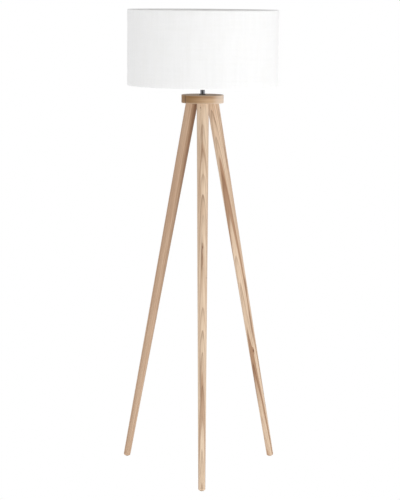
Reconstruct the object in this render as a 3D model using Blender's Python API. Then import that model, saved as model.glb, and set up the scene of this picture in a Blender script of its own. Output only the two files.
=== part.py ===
"""Tripod floor lamp: three turned wooden legs under a round wooden collar, with a white drum shade.

The lamp's upright axis stands at AXIS_Y, so that the origin is on the floor at the middle of the
lamp's bounding box. +Z is up and the front leg points to -Y. Lengths are in metres.
"""

from math import atan2, cos, hypot, pi, radians, sin

import bmesh
import bpy
from mathutils import Matrix, Vector

MM = 0.001
GAP = 0.3 * MM  # clearance kept between neighbouring pieces

# Driving dimensions: collar, legs and shade
COLLAR_TOP = 1270 * MM
COLLAR_THICKNESS = 26.5 * MM
COLLAR_RADIUS = 70 * MM
BAND_THICKNESS = 1 * MM
BAND_SEAM_ANGLE = radians(-145)
LEG_ANGLES = {"front": radians(-90), "right": radians(30), "left": radians(150)}
LEG_TOP_OFFSET = 40 * MM  # leg centre line to lamp axis, at the collar's underside
LEG_FOOT_OFFSET = 290 * MM  # the same at the floor
LEG_TOP_RADIUS = 20 * MM
LEG_FOOT_RADIUS = 11.5 * MM
FOOT_ROUNDING = 5 * MM
PAD_THICKNESS = 1.7 * MM
PAD_RADIUS = 6.5 * MM
SHADE_RADIUS = 250 * MM
SHADE_HEIGHT = 250 * MM
SHADE_BOTTOM = 1300 * MM

# Hardware
BOLT_RADIUS = 4 * MM
BOLT_IN_COLLAR = 15 * MM
BOLT_IN_LEG = 30 * MM
INSERT_RADIUS = 6 * MM
INSERT_DEPTH = 17 * MM
RECESS_RADIUS = 17 * MM
RECESS_DEPTH = 4 * MM
NIPPLE_RADIUS = 5 * MM
NIPPLE_BORE = 3.5 * MM
SLEEVE_RADIUS = 8 * MM
FLANGE_RADIUS = 10.5 * MM
HOLDER_BASE = 1315 * MM
HUB_HEIGHT = 1341.1 * MM
ARM_RADIUS = 1.8 * MM
RING_WIRE = 1.6 * MM
FABRIC_THICKNESS = 0.6 * MM
HEM_HEIGHT = 13 * MM

# Worked out from the above
COLLAR_BOTTOM = COLLAR_TOP - COLLAR_THICKNESS
LEG_TOP = COLLAR_BOTTOM - GAP
LANDING = PAD_THICKNESS + GAP  # height of the small flat under each leg
LEG_END = LANDING - 0.8 * MM  # the turned end sits just below the flat that is cut into it
LEG_TILT = atan2(LEG_FOOT_OFFSET - LEG_TOP_OFFSET, LEG_TOP - LEG_END)
LEG_LENGTH = hypot(LEG_FOOT_OFFSET - LEG_TOP_OFFSET, LEG_TOP - LEG_END)
FOOT_REACH = LEG_FOOT_OFFSET + LEG_FOOT_RADIUS * cos(LEG_TILT) - FOOT_ROUNDING * sin(LEG_TILT)
AXIS_Y = (FOOT_REACH - SHADE_RADIUS) / 2

ROUND = 32  # segments of an ordinary round piece
SHADE_SEGMENTS = 80
SHARP_ANGLE = radians(35)


def clear_scene():
    """Removes the scene's objects."""
    for obj in list(bpy.data.objects):
        bpy.data.objects.remove(obj)


def material(name, colour, roughness, metallic=0.0):
    """A Principled BSDF in one colour."""
    made = bpy.data.materials.new(name)
    made.use_nodes = True
    shader = made.node_tree.nodes["Principled BSDF"]
    shader.inputs["Base Color"].default_value = (*colour, 1)
    shader.inputs["Roughness"].default_value = roughness
    shader.inputs["Metallic"].default_value = metallic
    return made


def put(name, mesh, look, parent=None, matrix=None):
    """Links a mesh as a named object, shaded smooth up to SHARP_ANGLE."""
    obj = bpy.data.objects.new(name, mesh)
    bpy.context.scene.collection.objects.link(obj)
    if look:
        mesh.materials.append(look)
    mesh.shade_smooth()
    mesh.set_sharp_from_angle(angle=SHARP_ANGLE)
    obj.parent = parent
    if matrix:
        obj.matrix_local = matrix
    return obj


def finish_mesh(bm, name):
    """Closes a bmesh into a mesh whose faces point outwards."""
    bmesh.ops.remove_doubles(bm, verts=bm.verts, dist=0.001 * MM)
    bmesh.ops.recalc_face_normals(bm, faces=bm.faces)
    mesh = bpy.data.meshes.new(name)
    bm.to_mesh(mesh)
    bm.free()
    return mesh


def turned(name, outline, look, parent, segments=ROUND, matrix=None, closed=False):
    """A piece turned about its own Z from an outline of (radius, height) points.

    closed joins the last point to the first, for a ring or a sleeve; otherwise the outline
    starts and ends on the axis.
    """
    bm = bmesh.new()
    verts = [bm.verts.new((r, 0, z)) for r, z in outline]
    pairs = list(zip(verts, verts[1:]))
    if closed:
        pairs.append((verts[-1], verts[0]))
    edges = [bm.edges.new(pair) for pair in pairs]
    bmesh.ops.spin(bm, geom=verts + edges, cent=(0, 0, 0), axis=(0, 0, 1), dvec=(0, 0, 0),
                   angle=2 * pi, steps=segments, use_merge=True)
    return put(name, finish_mesh(bm, name), look, parent, matrix)


def sleeve(name, inner, outer, low, high, look, parent, segments=ROUND, matrix=None, rounding=0.0):
    """A plain ring or tube, its outer edges broken by a small chamfer."""
    edge = rounding or 0.15 * MM
    outline = [(inner, low), (outer - edge, low), (outer, low + edge),
               (outer, high - edge), (outer - edge, high), (inner, high)]
    return turned(name, outline, look, parent, segments, matrix, closed=True)


def prism(name, corners, thickness, look, parent, matrix=None):
    """A flat outline of (x, y) corners, extruded by thickness along its own Z."""
    bm = bmesh.new()
    face = bm.faces.new([bm.verts.new((x, y, 0)) for x, y in corners])
    made = bmesh.ops.extrude_face_region(bm, geom=[face])
    moved = [v for v in made["geom"] if isinstance(v, bmesh.types.BMVert)]
    bmesh.ops.translate(bm, verts=moved, vec=(0, 0, thickness))
    return put(name, finish_mesh(bm, name), look, parent, matrix)


def box_cutter(name, size, centre, parent, turn=0.0):
    """A box for a Boolean, left out of the model."""
    bm = bmesh.new()
    bmesh.ops.create_cube(bm, size=1)
    bmesh.ops.scale(bm, vec=size, verts=bm.verts)
    matrix = Matrix.Rotation(turn, 4, "Z") @ Matrix.Translation(centre)
    return as_cutter(put(name, finish_mesh(bm, name), None, parent, matrix))


def as_cutter(obj):
    """Hides an object from the model and shows it as wires."""
    obj.hide_render = True
    obj.display_type = "WIRE"
    return obj


def cut(obj, cutter):
    """Takes the cutter's shape out of an object."""
    boolean = obj.modifiers.new("cut_" + cutter.name, "BOOLEAN")
    boolean.operation = "DIFFERENCE"
    boolean.solver = "EXACT"
    boolean.object = cutter


def arc(centre, radius, start, end, steps):
    """Points on an arc of (radius, height), angles in degrees."""
    turns = [radians(start + (end - start) * i / steps) for i in range(steps + 1)]
    return [(centre[0] + radius * cos(t), centre[1] + radius * sin(t)) for t in turns]


def empty(name, location, parent=None, rotation=None):
    """An empty that carries pieces."""
    obj = bpy.data.objects.new(name, None)
    bpy.context.scene.collection.objects.link(obj)
    obj.parent = parent
    turn = rotation or Matrix.Identity(4)
    obj.matrix_local = Matrix.Translation(location) @ turn
    return obj


# ---------------------------------------------------------------- wooden stand


def leg_frame(side, axis):
    """An empty on a leg's centre line at the collar's underside, with -Z running down the leg."""
    angle = LEG_ANGLES[side]
    place = Vector((LEG_TOP_OFFSET * cos(angle), LEG_TOP_OFFSET * sin(angle), LEG_TOP))
    turn = Matrix.Rotation(angle, 4, "Z") @ Matrix.Rotation(-LEG_TILT, 4, "Y")
    return empty("leg_line_" + side, place, axis, turn)


def make_leg(side, frame, wood, cutters):
    """A straight tapered leg: flush to the collar, rounded at its foot, with a small level landing."""
    spare = 12 * MM  # turned above the collar line, then cut away level
    taper = (LEG_TOP_RADIUS - LEG_FOOT_RADIUS) / LEG_LENGTH
    bore = BOLT_RADIUS + GAP
    bore_end = -BOLT_IN_LEG - 2 * MM
    end = -LEG_LENGTH
    outline = [(0, bore_end - bore / 2), (bore, bore_end), (bore, spare),
               (LEG_TOP_RADIUS + taper * spare, spare), (LEG_TOP_RADIUS, 0)]
    outline += arc((LEG_FOOT_RADIUS - FOOT_ROUNDING, end + FOOT_ROUNDING), FOOT_ROUNDING, 0, -90, 5)
    outline.append((0, end))
    leg = turned("leg_" + side, outline, wood, frame)
    for cutter in cutters:
        cut(leg, cutter)
    return leg


def make_leg_hardware(side, frame, steel, brass):
    """The double-ended bolt in the leg's top, and the threaded insert in the collar that takes it."""
    point = 3 * MM
    turned("hanger_bolt_" + side,
           [(0, -BOLT_IN_LEG), (BOLT_RADIUS, -BOLT_IN_LEG + point), (BOLT_RADIUS, BOLT_IN_COLLAR - MM),
            (BOLT_RADIUS - MM, BOLT_IN_COLLAR), (0, BOLT_IN_COLLAR)],
           steel, frame, 16)
    sleeve("threaded_insert_" + side, BOLT_RADIUS + GAP, INSERT_RADIUS, 2.5 * MM, INSERT_DEPTH,
           brass, frame, 16)


def make_foot_pad(side, axis, felt):
    """A felt disc stuck to the leg's landing, flat on the floor."""
    angle = LEG_ANGLES[side]
    inwards = LEG_FOOT_OFFSET - 1.5 * MM  # the landing lies a little inside the leg's centre line
    matrix = Matrix.Translation((inwards * cos(angle), inwards * sin(angle), 0))
    turned("foot_pad_" + side, [(0, 0), (PAD_RADIUS, 0), (PAD_RADIUS, PAD_THICKNESS), (0, PAD_THICKNESS)],
           felt, axis, 24, matrix)


def make_collar(axis, frames, wood, band_wood):
    """The round wooden collar: a core with the stem's bore and recess, and a thin band round its edge."""
    core_radius = COLLAR_RADIUS - BAND_THICKNESS - GAP
    bore = NIPPLE_RADIUS + GAP
    recess_top = COLLAR_BOTTOM + RECESS_DEPTH
    core = turned("collar_core",
                  [(bore, recess_top), (RECESS_RADIUS, recess_top), (RECESS_RADIUS, COLLAR_BOTTOM),
                   (core_radius, COLLAR_BOTTOM), (core_radius, COLLAR_TOP), (bore, COLLAR_TOP)],
                  wood, axis, 64, closed=True)
    for side, frame in frames.items():
        hole = turned("cut_insert_" + side,
                      [(0, -10 * MM), (INSERT_RADIUS + GAP, -10 * MM),
                       (INSERT_RADIUS + GAP, INSERT_DEPTH + MM), (0, INSERT_DEPTH + MM)],
                      None, frame, 16)
        cut(core, as_cutter(hole))
    soft = 0.8 * MM  # rounding of the band's outer edges
    inner = COLLAR_RADIUS - BAND_THICKNESS
    outline = [(inner, COLLAR_BOTTOM)]
    outline += arc((COLLAR_RADIUS - soft, COLLAR_BOTTOM + soft), soft, -90, 0, 3)
    outline += arc((COLLAR_RADIUS - soft, COLLAR_TOP - soft), soft, 0, 90, 3)
    outline.append((inner, COLLAR_TOP))
    band = turned("collar_band", outline, band_wood, axis, 64, closed=True)
    slit = box_cutter("cut_band_seam", (10 * MM, 0.4 * MM, 60 * MM),
                      (COLLAR_RADIUS, 0, COLLAR_BOTTOM + COLLAR_THICKNESS / 2), axis, BAND_SEAM_ANGLE)
    cut(band, slit)


# ---------------------------------------------------------------- stem through the collar


def make_stem(axis, chrome, steel, plastic):
    """A hollow threaded tube through the collar, its chrome sleeve and flange, washer, nut and cord bush."""
    low = COLLAR_BOTTOM - 13 * MM
    bore = NIPPLE_RADIUS + GAP
    sleeve("threaded_tube", NIPPLE_BORE, NIPPLE_RADIUS, low, HOLDER_BASE + 8 * MM, steel, axis, 24)
    sleeve("stem_sleeve", SLEEVE_RADIUS - 1.7 * MM, SLEEVE_RADIUS, COLLAR_TOP + GAP,
           HOLDER_BASE - GAP, chrome, axis)
    sleeve("stem_flange", SLEEVE_RADIUS + GAP, FLANGE_RADIUS, COLLAR_TOP + GAP, COLLAR_TOP + 3.3 * MM,
           chrome, axis, rounding=0.6 * MM)
    washer_top = COLLAR_BOTTOM + RECESS_DEPTH - GAP
    washer_low = washer_top - 1.5 * MM
    sleeve("clamp_washer", bore, 14 * MM, washer_low, washer_top, steel, axis, 24)
    nut_height = 4 * MM
    nut_low = washer_low - GAP - nut_height
    corner = 15 * MM / 2 / cos(pi / 6)  # across the corners, from 15 mm across the flats
    hexagon = [(corner * cos(i * pi / 3), corner * sin(i * pi / 3)) for i in range(6)]
    nut = prism("clamp_nut", hexagon, nut_height, steel, axis, Matrix.Translation((0, 0, nut_low)))
    hole = turned("cut_nut", [(0, -MM), (bore, -MM), (bore, nut_height + MM), (0, nut_height + MM)],
                  None, axis, 24, Matrix.Translation((0, 0, nut_low)))
    cut(nut, as_cutter(hole))
    bush_low = low - 3 * MM
    turned("cord_bush",
           [(NIPPLE_BORE, bush_low + MM), (NIPPLE_BORE + MM, bush_low), (7 * MM, bush_low),
            (8 * MM, bush_low + MM), (8 * MM, nut_low - GAP), (bore, nut_low - GAP),
            (bore, low - GAP), (NIPPLE_BORE, low - GAP)],
           plastic, axis, 24, closed=True)


# ---------------------------------------------------------------- lampholder


def make_holder(axis, plastic, ceramic, brass):
    """A screw lampholder: cap, skirt with a flange, inner insulator, screw shell and contacts."""
    base = HOLDER_BASE

    def at(points):
        return [(r * MM, base + z * MM) for r, z in points]

    turned("holder_cap",
           at([(5.3, 0), (10.5, 0), (12.5, 1.5), (16.8, 4.5), (18.2, 7), (18.6, 10), (18.6, 18),
               (16.4, 18), (16.4, 10.5), (13, 5.5), (5.3, 5.5)]),
           plastic, axis, closed=True)
    turned("holder_skirt",
           at([(16.4, 18.3), (18.6, 18.3), (18.6, 22.5), (24, 22.5), (24, 25), (19.6, 25), (19.6, 48.5),
               (19, 49), (16.4, 49)]),
           plastic, axis, closed=True)
    turned("holder_insulator",
           at([(0, 14), (16, 14), (16, 45), (14.6, 45), (14.6, 17.5), (0, 17.5)]),
           ceramic, axis)
    sleeve("screw_shell", 13.5 * MM, 14.2 * MM, base + 18.6 * MM, base + 41 * MM, brass, axis)
    thick = 0.5
    leaf = [(-9, 17.8), (-3, 17.8), (3, 18.6), (4.5, 18.6), (4.5, 18.6 + thick), (2.9, 18.6 + thick),
            (-3.1, 17.8 + thick), (-9, 17.8 + thick)]
    width = 5 * MM
    upright = Matrix.Rotation(pi / 2, 4, "X")
    stand = Matrix.Translation((0, width / 2, base))
    prism("centre_contact", [(x * MM, z * MM) for x, z in leaf], width, brass, axis, stand @ upright)
    make_terminals(axis, base, brass)


def make_terminals(axis, base, brass):
    """Two brass terminal blocks under the insulator, each with its clamping screw."""
    size = (5 * MM, 4 * MM)
    middle = 8 * MM
    low = base + 9.7 * MM
    height = 4 * MM
    for name, side in (("live", 0), ("neutral", pi)):
        turn = Matrix.Rotation(side, 4, "Z")
        corners = [(middle + size[0] / 2 * i, size[1] / 2 * j)
                   for i, j in ((-1, -1), (1, -1), (1, 1), (-1, 1))]
        prism("terminal_" + name, corners, height, brass, axis, turn @ Matrix.Translation((0, 0, low)))
        outwards = Matrix.Translation((middle + size[0] / 2 + GAP, 0, low + height / 2))
        sideways = Matrix.Rotation(pi / 2, 4, "Y")
        turned("terminal_screw_" + name, [(0, 0), (1.8 * MM, 0), (1.8 * MM, 1.4 * MM), (0, 1.4 * MM)],
               brass, axis, 12, turn @ outwards @ sideways)


# ---------------------------------------------------------------- bulb


def make_bulb(axis, glass, plastic, nickel, brass):
    """A screw-in bulb standing in the holder; its heights are above the holder's base."""
    base = HOLDER_BASE

    def at(points):
        return [(r * MM, base + z * MM) for r, z in points]

    turned("bulb_tip", at([(0, 19.6), (4.4, 19.6), (4.8, 20.2), (4.8, 21.4), (0, 21.4)]), brass, axis, 24)
    turned("bulb_cap", at([(0, 21.7), (5.2, 21.7), (12.2, 24.6), (13.1, 25.4), (13.1, 46.5), (0, 46.5)]),
           nickel, axis)
    housing = [(0, 46.8), (13.4, 46.8), (13.8, 50), (15.6, 56), (20.5, 65), (25.6, 73), (28.4, 79.5),
               (0, 79.5)]
    turned("bulb_housing", at(housing), plastic, axis)
    wall, radius, middle = 1.2, 30.0, 86.5
    start = -12.0  # degrees below the globe's equator where its rim sits on the housing
    outer = arc((0, middle), radius, start, 90, 8)
    inner = arc((0, middle), radius - wall, 90, start, 8)
    rim = [(outer[0][0], 79.9), (inner[-1][0], 79.9)]
    turned("bulb_globe", at([rim[0], *outer, *inner, rim[1]]), glass, axis, closed=True)


# ---------------------------------------------------------------- shade


def fabric_outline():
    """The cover's section, as (radius, height above the shade's bottom).

    The cloth runs up the outside, rolls over the top wire, turns down inside as a hem, and does the
    same round the bottom wire.
    """
    roll = RING_WIRE + GAP  # the cloth's inside radius round the wire
    middle = SHADE_RADIUS - roll - FABRIC_THICKNESS
    hem_outer = middle + 0.4 * MM
    hem_inner = hem_outer - FABRIC_THICKNESS
    turn_in = 3.9 * MM  # from the wire's centre to where the hem runs straight
    top = SHADE_HEIGHT - roll - FABRIC_THICKNESS
    over = arc((middle, top), roll + FABRIC_THICKNESS, 0, 215, 6)
    under = arc((middle, top), roll, 215, 0, 6)
    upper = [*over, (hem_inner, top - turn_in), (hem_inner, SHADE_HEIGHT - HEM_HEIGHT),
             (hem_outer, SHADE_HEIGHT - HEM_HEIGHT), (hem_outer, top - turn_in + 0.3 * MM), *under]
    lower = [(r, SHADE_HEIGHT - z) for r, z in reversed(upper)]
    return upper + lower


def make_shade(frame, cloth, liner, wire):
    """The drum: stiff liner, cloth cover, two wire rings and the three-armed spider that carries them."""
    middle = SHADE_RADIUS - FABRIC_THICKNESS - GAP - RING_WIRE
    cover = turned("shade_cover", fabric_outline(), cloth, frame, SHADE_SEGMENTS, closed=True)
    liner_outer = SHADE_RADIUS - FABRIC_THICKNESS - GAP
    liner_inner = liner_outer - 0.8 * MM
    edge = 4.5 * MM  # the liner stops short of the wires
    turned("shade_liner",
           [(liner_inner, edge), (liner_outer, edge), (liner_outer, SHADE_HEIGHT - edge),
            (liner_inner, SHADE_HEIGHT - edge)],
           liner, frame, SHADE_SEGMENTS, closed=True)
    inset = SHADE_RADIUS - middle
    for name, height in (("bottom", inset), ("top", SHADE_HEIGHT - inset)):
        turned("wire_ring_" + name, arc((middle, height), RING_WIRE, 0, 300, 5), wire, frame,
               SHADE_SEGMENTS, closed=True)
    make_spider(frame, cover, wire, middle, inset)


def make_spider(frame, cover, wire, ring_radius, ring_height):
    """The hub that sits on the lampholder, and three arms that drop to the bottom wire."""
    hub_height = HUB_HEIGHT - SHADE_BOTTOM
    hub_radius = 27 * MM
    sleeve("spider_hub", 20.4 * MM, hub_radius, hub_height - 0.8 * MM, hub_height + 0.7 * MM, wire, frame)
    bend_at = 212 * MM
    bend_radius = 14 * MM
    stand_off = RING_WIRE + 0.4 * MM  # from the wire's centre to the arm's end
    for number, angle in enumerate((radians(90), radians(210), radians(330)), start=1):
        slope = atan2(hub_height - ring_height, ring_radius - bend_at)
        end = (ring_radius - stand_off * cos(slope), ring_height + stand_off * sin(slope))
        setback = bend_radius * sin(slope / 2) / cos(slope / 2)
        start_bend = bend_at - setback
        bend = [(start_bend + bend_radius * sin(slope * i / 6),
                 hub_height - bend_radius * (1 - cos(slope * i / 6))) for i in range(7)]
        path = [(hub_radius + GAP, hub_height), *bend, end]
        curve = bpy.data.curves.new(f"spider_arm_{number}", "CURVE")
        curve.dimensions = "3D"
        curve.bevel_depth = ARM_RADIUS
        curve.bevel_resolution = 1
        curve.use_fill_caps = True
        spline = curve.splines.new("POLY")
        spline.points.add(len(path) - 1)
        for point, (r, z) in zip(spline.points, path):
            point.co = (r * cos(angle), r * sin(angle), z, 1)
        arm = bpy.data.objects.new(curve.name, curve)
        curve.materials.append(wire)
        bpy.context.scene.collection.objects.link(arm)
        arm.parent = frame
        notch = box_cutter(f"cut_hem_{number}", (6 * MM, 6 * MM, 13.5 * MM),
                           (ring_radius - 2.4 * MM, 0, 7.65 * MM), frame, angle)
        cut(cover, notch)


def make_shade_ring(axis, plastic):
    """The threaded ring that clamps the spider's hub down on the lampholder's flange."""
    low = HUB_HEIGHT + MM
    height = 9 * MM
    turned("shade_ring",
           [(19.9 * MM, low), (26.2 * MM, low), (26.5 * MM, low + 0.3 * MM), (26.5 * MM, low + 2 * MM),
            (25 * MM, low + 2.6 * MM), (24.4 * MM, low + height - MM), (23.6 * MM, low + height),
            (19.9 * MM, low + height)],
           plastic, axis, closed=True)


def main():
    clear_scene()
    wood = material("ash_wood", (0.78, 0.62, 0.45), 0.5)
    band_wood = material("ash_band", (0.72, 0.55, 0.39), 0.5)
    steel = material("zinc_steel", (0.62, 0.62, 0.63), 0.4, 1.0)
    chrome = material("black_nickel", (0.35, 0.35, 0.36), 0.15, 1.0)
    brass = material("brass", (0.78, 0.62, 0.32), 0.3, 1.0)
    nickel = material("nickel", (0.72, 0.71, 0.68), 0.25, 1.0)
    felt = material("felt", (0.45, 0.38, 0.30), 0.95)
    white_plastic = material("white_plastic", (0.88, 0.88, 0.86), 0.45)
    ceramic = material("ceramic", (0.90, 0.89, 0.85), 0.3)
    opal = material("opal_glass", (0.95, 0.95, 0.93), 0.2)
    cloth = material("white_cloth", (0.93, 0.93, 0.93), 0.9)
    liner = material("white_liner", (0.95, 0.95, 0.95), 0.5)
    wire = material("white_wire", (0.86, 0.86, 0.85), 0.4)

    axis = empty("lamp_axis", (0, AXIS_Y, 0))
    frames = {side: leg_frame(side, axis) for side in LEG_ANGLES}
    wide = 0.9
    above = box_cutter("cut_above_legs", (wide, wide, 0.1), (0, 0, LEG_TOP + 0.05), axis)
    below = box_cutter("cut_below_legs", (wide, wide, 0.1), (0, 0, LANDING - 0.05), axis)
    for side, frame in frames.items():
        make_leg(side, frame, wood, (above, below))
        make_leg_hardware(side, frame, steel, brass)
        make_foot_pad(side, axis, felt)
    make_collar(axis, frames, wood, band_wood)
    make_stem(axis, chrome, steel, white_plastic)
    make_holder(axis, white_plastic, ceramic, brass)
    make_shade_ring(axis, white_plastic)
    make_bulb(axis, opal, white_plastic, nickel, brass)
    shade_frame = empty("shade_axis", (0, 0, SHADE_BOTTOM), axis)
    make_shade(shade_frame, cloth, liner, wire)


main()
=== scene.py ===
"""Looks of a tripod floor lamp: turned ash legs, a banded ash collar and a white cloth drum shade.

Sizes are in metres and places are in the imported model's frame: +Z is up, the front leg points to -Y
and the lamp's upright axis runs through the stem.  Each sub-assembly is a class with its sizes as
fields, each finish is a frozen dataclass, and every new piece is a grid surface worked out as whole
arrays.
"""

import logging
from collections.abc import Callable, Sequence
from dataclasses import dataclass, field
from enum import Enum
from math import acos, atan2, cos, hypot, pi, radians, sin, tan

import bpy
import numpy as np
from mathutils import Matrix, Vector


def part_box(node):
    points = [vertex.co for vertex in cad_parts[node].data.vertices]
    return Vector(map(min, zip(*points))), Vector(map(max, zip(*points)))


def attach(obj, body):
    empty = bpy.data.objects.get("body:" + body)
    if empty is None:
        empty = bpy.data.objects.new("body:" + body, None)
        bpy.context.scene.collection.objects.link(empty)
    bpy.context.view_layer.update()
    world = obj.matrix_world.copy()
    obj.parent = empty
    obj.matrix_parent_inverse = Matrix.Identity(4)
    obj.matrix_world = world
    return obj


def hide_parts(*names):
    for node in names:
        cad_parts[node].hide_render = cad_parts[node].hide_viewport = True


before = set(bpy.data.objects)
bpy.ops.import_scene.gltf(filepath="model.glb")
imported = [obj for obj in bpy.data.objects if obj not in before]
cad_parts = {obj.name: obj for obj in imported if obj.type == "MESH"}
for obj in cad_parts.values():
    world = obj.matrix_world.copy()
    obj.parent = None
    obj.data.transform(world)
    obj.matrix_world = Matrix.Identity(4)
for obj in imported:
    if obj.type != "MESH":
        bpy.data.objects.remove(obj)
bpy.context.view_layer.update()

Array = np.ndarray
Colour = tuple[float, float, float]
Corner = tuple[float, float, float]  # radius, height and fillet of an outline's corner
Relief = Callable[[Array, Array, Array], tuple[Array, Array]]
Socket = bpy.types.NodeSocket

MM = 0.001
FULL_TURN = 2 * pi
WELD = 1e-7  # points nearer than this are one point
SHARP_ANGLE = radians(40)
log = logging.getLogger("lamp")


class Body(Enum):
    """The moving bodies that a piece can ride on."""

    STAND = "stand"
    SHADE = "shade"
    BULB_FOOT = "bulb_foot"
    BULB = "bulb"


class Side(Enum):
    """A leg's direction from the lamp's axis, in degrees from +X."""

    FRONT = -90
    RIGHT = 30
    LEFT = 150


def middle_of(node: str) -> Vector:
    """The middle of a node's box at rest."""
    low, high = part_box(node)
    return (low + high) / 2


AXIS = middle_of("stem_sleeve").xy


# ------------------------------------------------------------------ surfaces


@dataclass
class Grid:
    """A closed surface on a grid of rows and columns.

    Attributes:
        points: rows x columns x 3 places.
        ring: the last row joins the first, as round a tube's section.
        wrap: the last column joins the first, as round a turned piece.
        uv: one more row and column than the cells need, x 2, in metres.
        marks: name of an attribute to its value at each point, rows x columns (x 3).
    """

    points: Array
    ring: bool = False
    wrap: bool = True
    uv: Array | None = None
    marks: dict[str, Array] = field(default_factory=dict)

    def cells(self) -> Array:
        """The (row, column) of each cell's four corners, not yet wrapped round: cells x 4 x 2.

        Returns:
            The corners, cells x 4 x 2.
        """
        rows, columns = self.points.shape[:2]
        row, column = np.meshgrid(np.arange(rows - (not self.ring)), np.arange(columns - (not self.wrap)),
                                  indexing="ij")
        steps = ((0, 0), (0, 1), (1, 1), (1, 0))
        corners = [np.stack([row + down, column + along], axis=-1) for down, along in steps]
        return np.stack(corners, axis=2).reshape(-1, 4, 2)


def enclosed(points: Array, faces: Array) -> float:
    """Six times the signed volume inside four-cornered faces: the sum of a . (b x c) over triangles."""
    a, b, c, d = (points[faces[:, k]] for k in range(4))
    return float((a * np.cross(b, c)).sum() + (a * np.cross(c, d)).sum())


def build_mesh(name: str, grids: Sequence[Grid]) -> bpy.types.Mesh:
    """Joins grids into one mesh with its faces pointing out.

    Points that fall together, at a pole or a seam, are welded, and a cell with two corners in one
    place becomes a triangle.

    Args:
        name: the mesh's name.
        grids: closed surfaces, all with the same marks.

    Returns:
        The mesh, with a UV map where the first grid has one.
    """
    places, faces, maps, count = [], [], [], 0
    for grid in grids:
        rows, columns = grid.points.shape[:2]
        cells = grid.cells()
        own = (cells[..., 0] % rows) * columns + cells[..., 1] % columns
        flat = grid.points.reshape(-1, 3)
        outward = enclosed(flat - flat.mean(axis=0), own) > 0
        order = [0, 1, 2, 3] if outward else [3, 2, 1, 0]
        faces.append(own[:, order] + count)
        if grid.uv is not None:
            maps.append(grid.uv[cells[:, order, 0], cells[:, order, 1]])
        places.append(flat)
        count += len(flat)
    points = np.concatenate(places)
    keys = np.round(points / WELD).astype(np.int64)
    _, first, new = np.unique(keys, axis=0, return_index=True, return_inverse=True)
    face = new.reshape(-1)[np.concatenate(faces)]
    corner_maps = np.concatenate(maps) if maps else np.zeros((len(face), 4, 2))
    same = face == np.roll(face, -1, axis=1)
    whole, bent = ~same.any(axis=1), same.sum(axis=1) == 1
    kept = (same[bent].argmax(axis=1)[:, None] + np.array([1, 2, 3])) % 4
    quads, tris = face[whole], np.take_along_axis(face[bent], kept, axis=1)
    corners = np.concatenate([quads.ravel(), tris.ravel()])
    sizes = np.concatenate([np.full(len(quads), 4), np.full(len(tris), 3)])

    mesh = bpy.data.meshes.new(name)
    mesh.vertices.add(len(first))
    mesh.vertices.foreach_set("co", points[first].astype(np.float32).ravel())
    mesh.loops.add(len(corners))
    mesh.loops.foreach_set("vertex_index", corners.astype(np.int32))
    mesh.polygons.add(len(sizes))
    mesh.polygons.foreach_set("loop_start", (np.cumsum(sizes) - sizes).astype(np.int32))
    if maps:
        spread = [corner_maps[whole].reshape(-1, 2),
                  np.take_along_axis(corner_maps[bent], kept[..., None], axis=1).reshape(-1, 2)]
        layer = mesh.uv_layers.new(name="UVMap")
        layer.data.foreach_set("uv", np.concatenate(spread).astype(np.float32).ravel())
    for mark in grids[0].marks:
        shape = grids[0].marks[mark].shape[2:]
        values = np.concatenate([grid.marks[mark].reshape((-1, *shape)) for grid in grids])[first]
        kind, key = ("FLOAT_VECTOR", "vector") if shape else ("FLOAT", "value")
        made = mesh.attributes.new(mark, kind, "POINT")
        made.data.foreach_set(key, values.astype(np.float32).ravel())
    mesh.update(calc_edges=True)
    mesh.shade_smooth()
    mesh.set_sharp_from_angle(angle=SHARP_ANGLE)
    return mesh


def arc(centre: tuple[float, float], radius: float, start: float, end: float, count: int) -> Array:
    """Evenly spaced points on an arc: centre + radius (cos, sin), angles in degrees."""
    turn = np.radians(np.linspace(start, end, count))
    return np.stack([centre[0] + radius * np.cos(turn), centre[1] + radius * np.sin(turn)], axis=1)


def filleted(corners: Sequence[Corner], closed: bool, steps: int = 5) -> tuple[Array, Array]:
    """An outline with rounded corners, each an arc that touches the two straight runs it joins.

    Args:
        corners: (radius, height, fillet) of each corner, all in millimetres.
        closed: the last corner joins the first.
        steps: points on each fillet.

    Returns:
        The points in metres, and how exposed each one is: 1 on a fillet, 0 beside it.
    """
    spots = np.array([corner[:2] for corner in corners], float)
    points, wear = [], []
    for i, (_, _, fillet) in enumerate(corners):
        here = spots[i]
        if fillet <= 0:
            points.append(here[None])
            wear.append(np.zeros(1))
            continue
        runs = [spots[i - 1] - here, spots[(i + 1) % len(spots)] - here]
        lengths = [float(np.hypot(*run)) for run in runs]
        back, on = (run / length for run, length in zip(runs, lengths))
        half = acos(max(-1.0, min(1.0, float(back @ on)))) / 2
        reach, spread = fillet / tan(half), pi - 2 * half
        centre = here + (back + on) / np.hypot(*(back + on)) * fillet / sin(half)
        t = np.linspace(0, 1, steps)[:, None]
        first, last = here + back * reach - centre, here + on * reach - centre
        bend = centre + (np.sin((1 - t) * spread) * first + np.sin(t * spread) * last) / sin(spread)
        guards = [max(0.02 * fillet, min(1.5 * fillet, 0.45 * length - reach)) for length in lengths]
        points.append(np.vstack([here + back * (reach + guards[0]), bend, here + on * (reach + guards[1])]))
        wear.append(np.concatenate([[0], np.sin(np.linspace(0.3, pi - 0.3, steps)), [0]]))
    return np.vstack(points) * MM, np.concatenate(wear)


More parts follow.
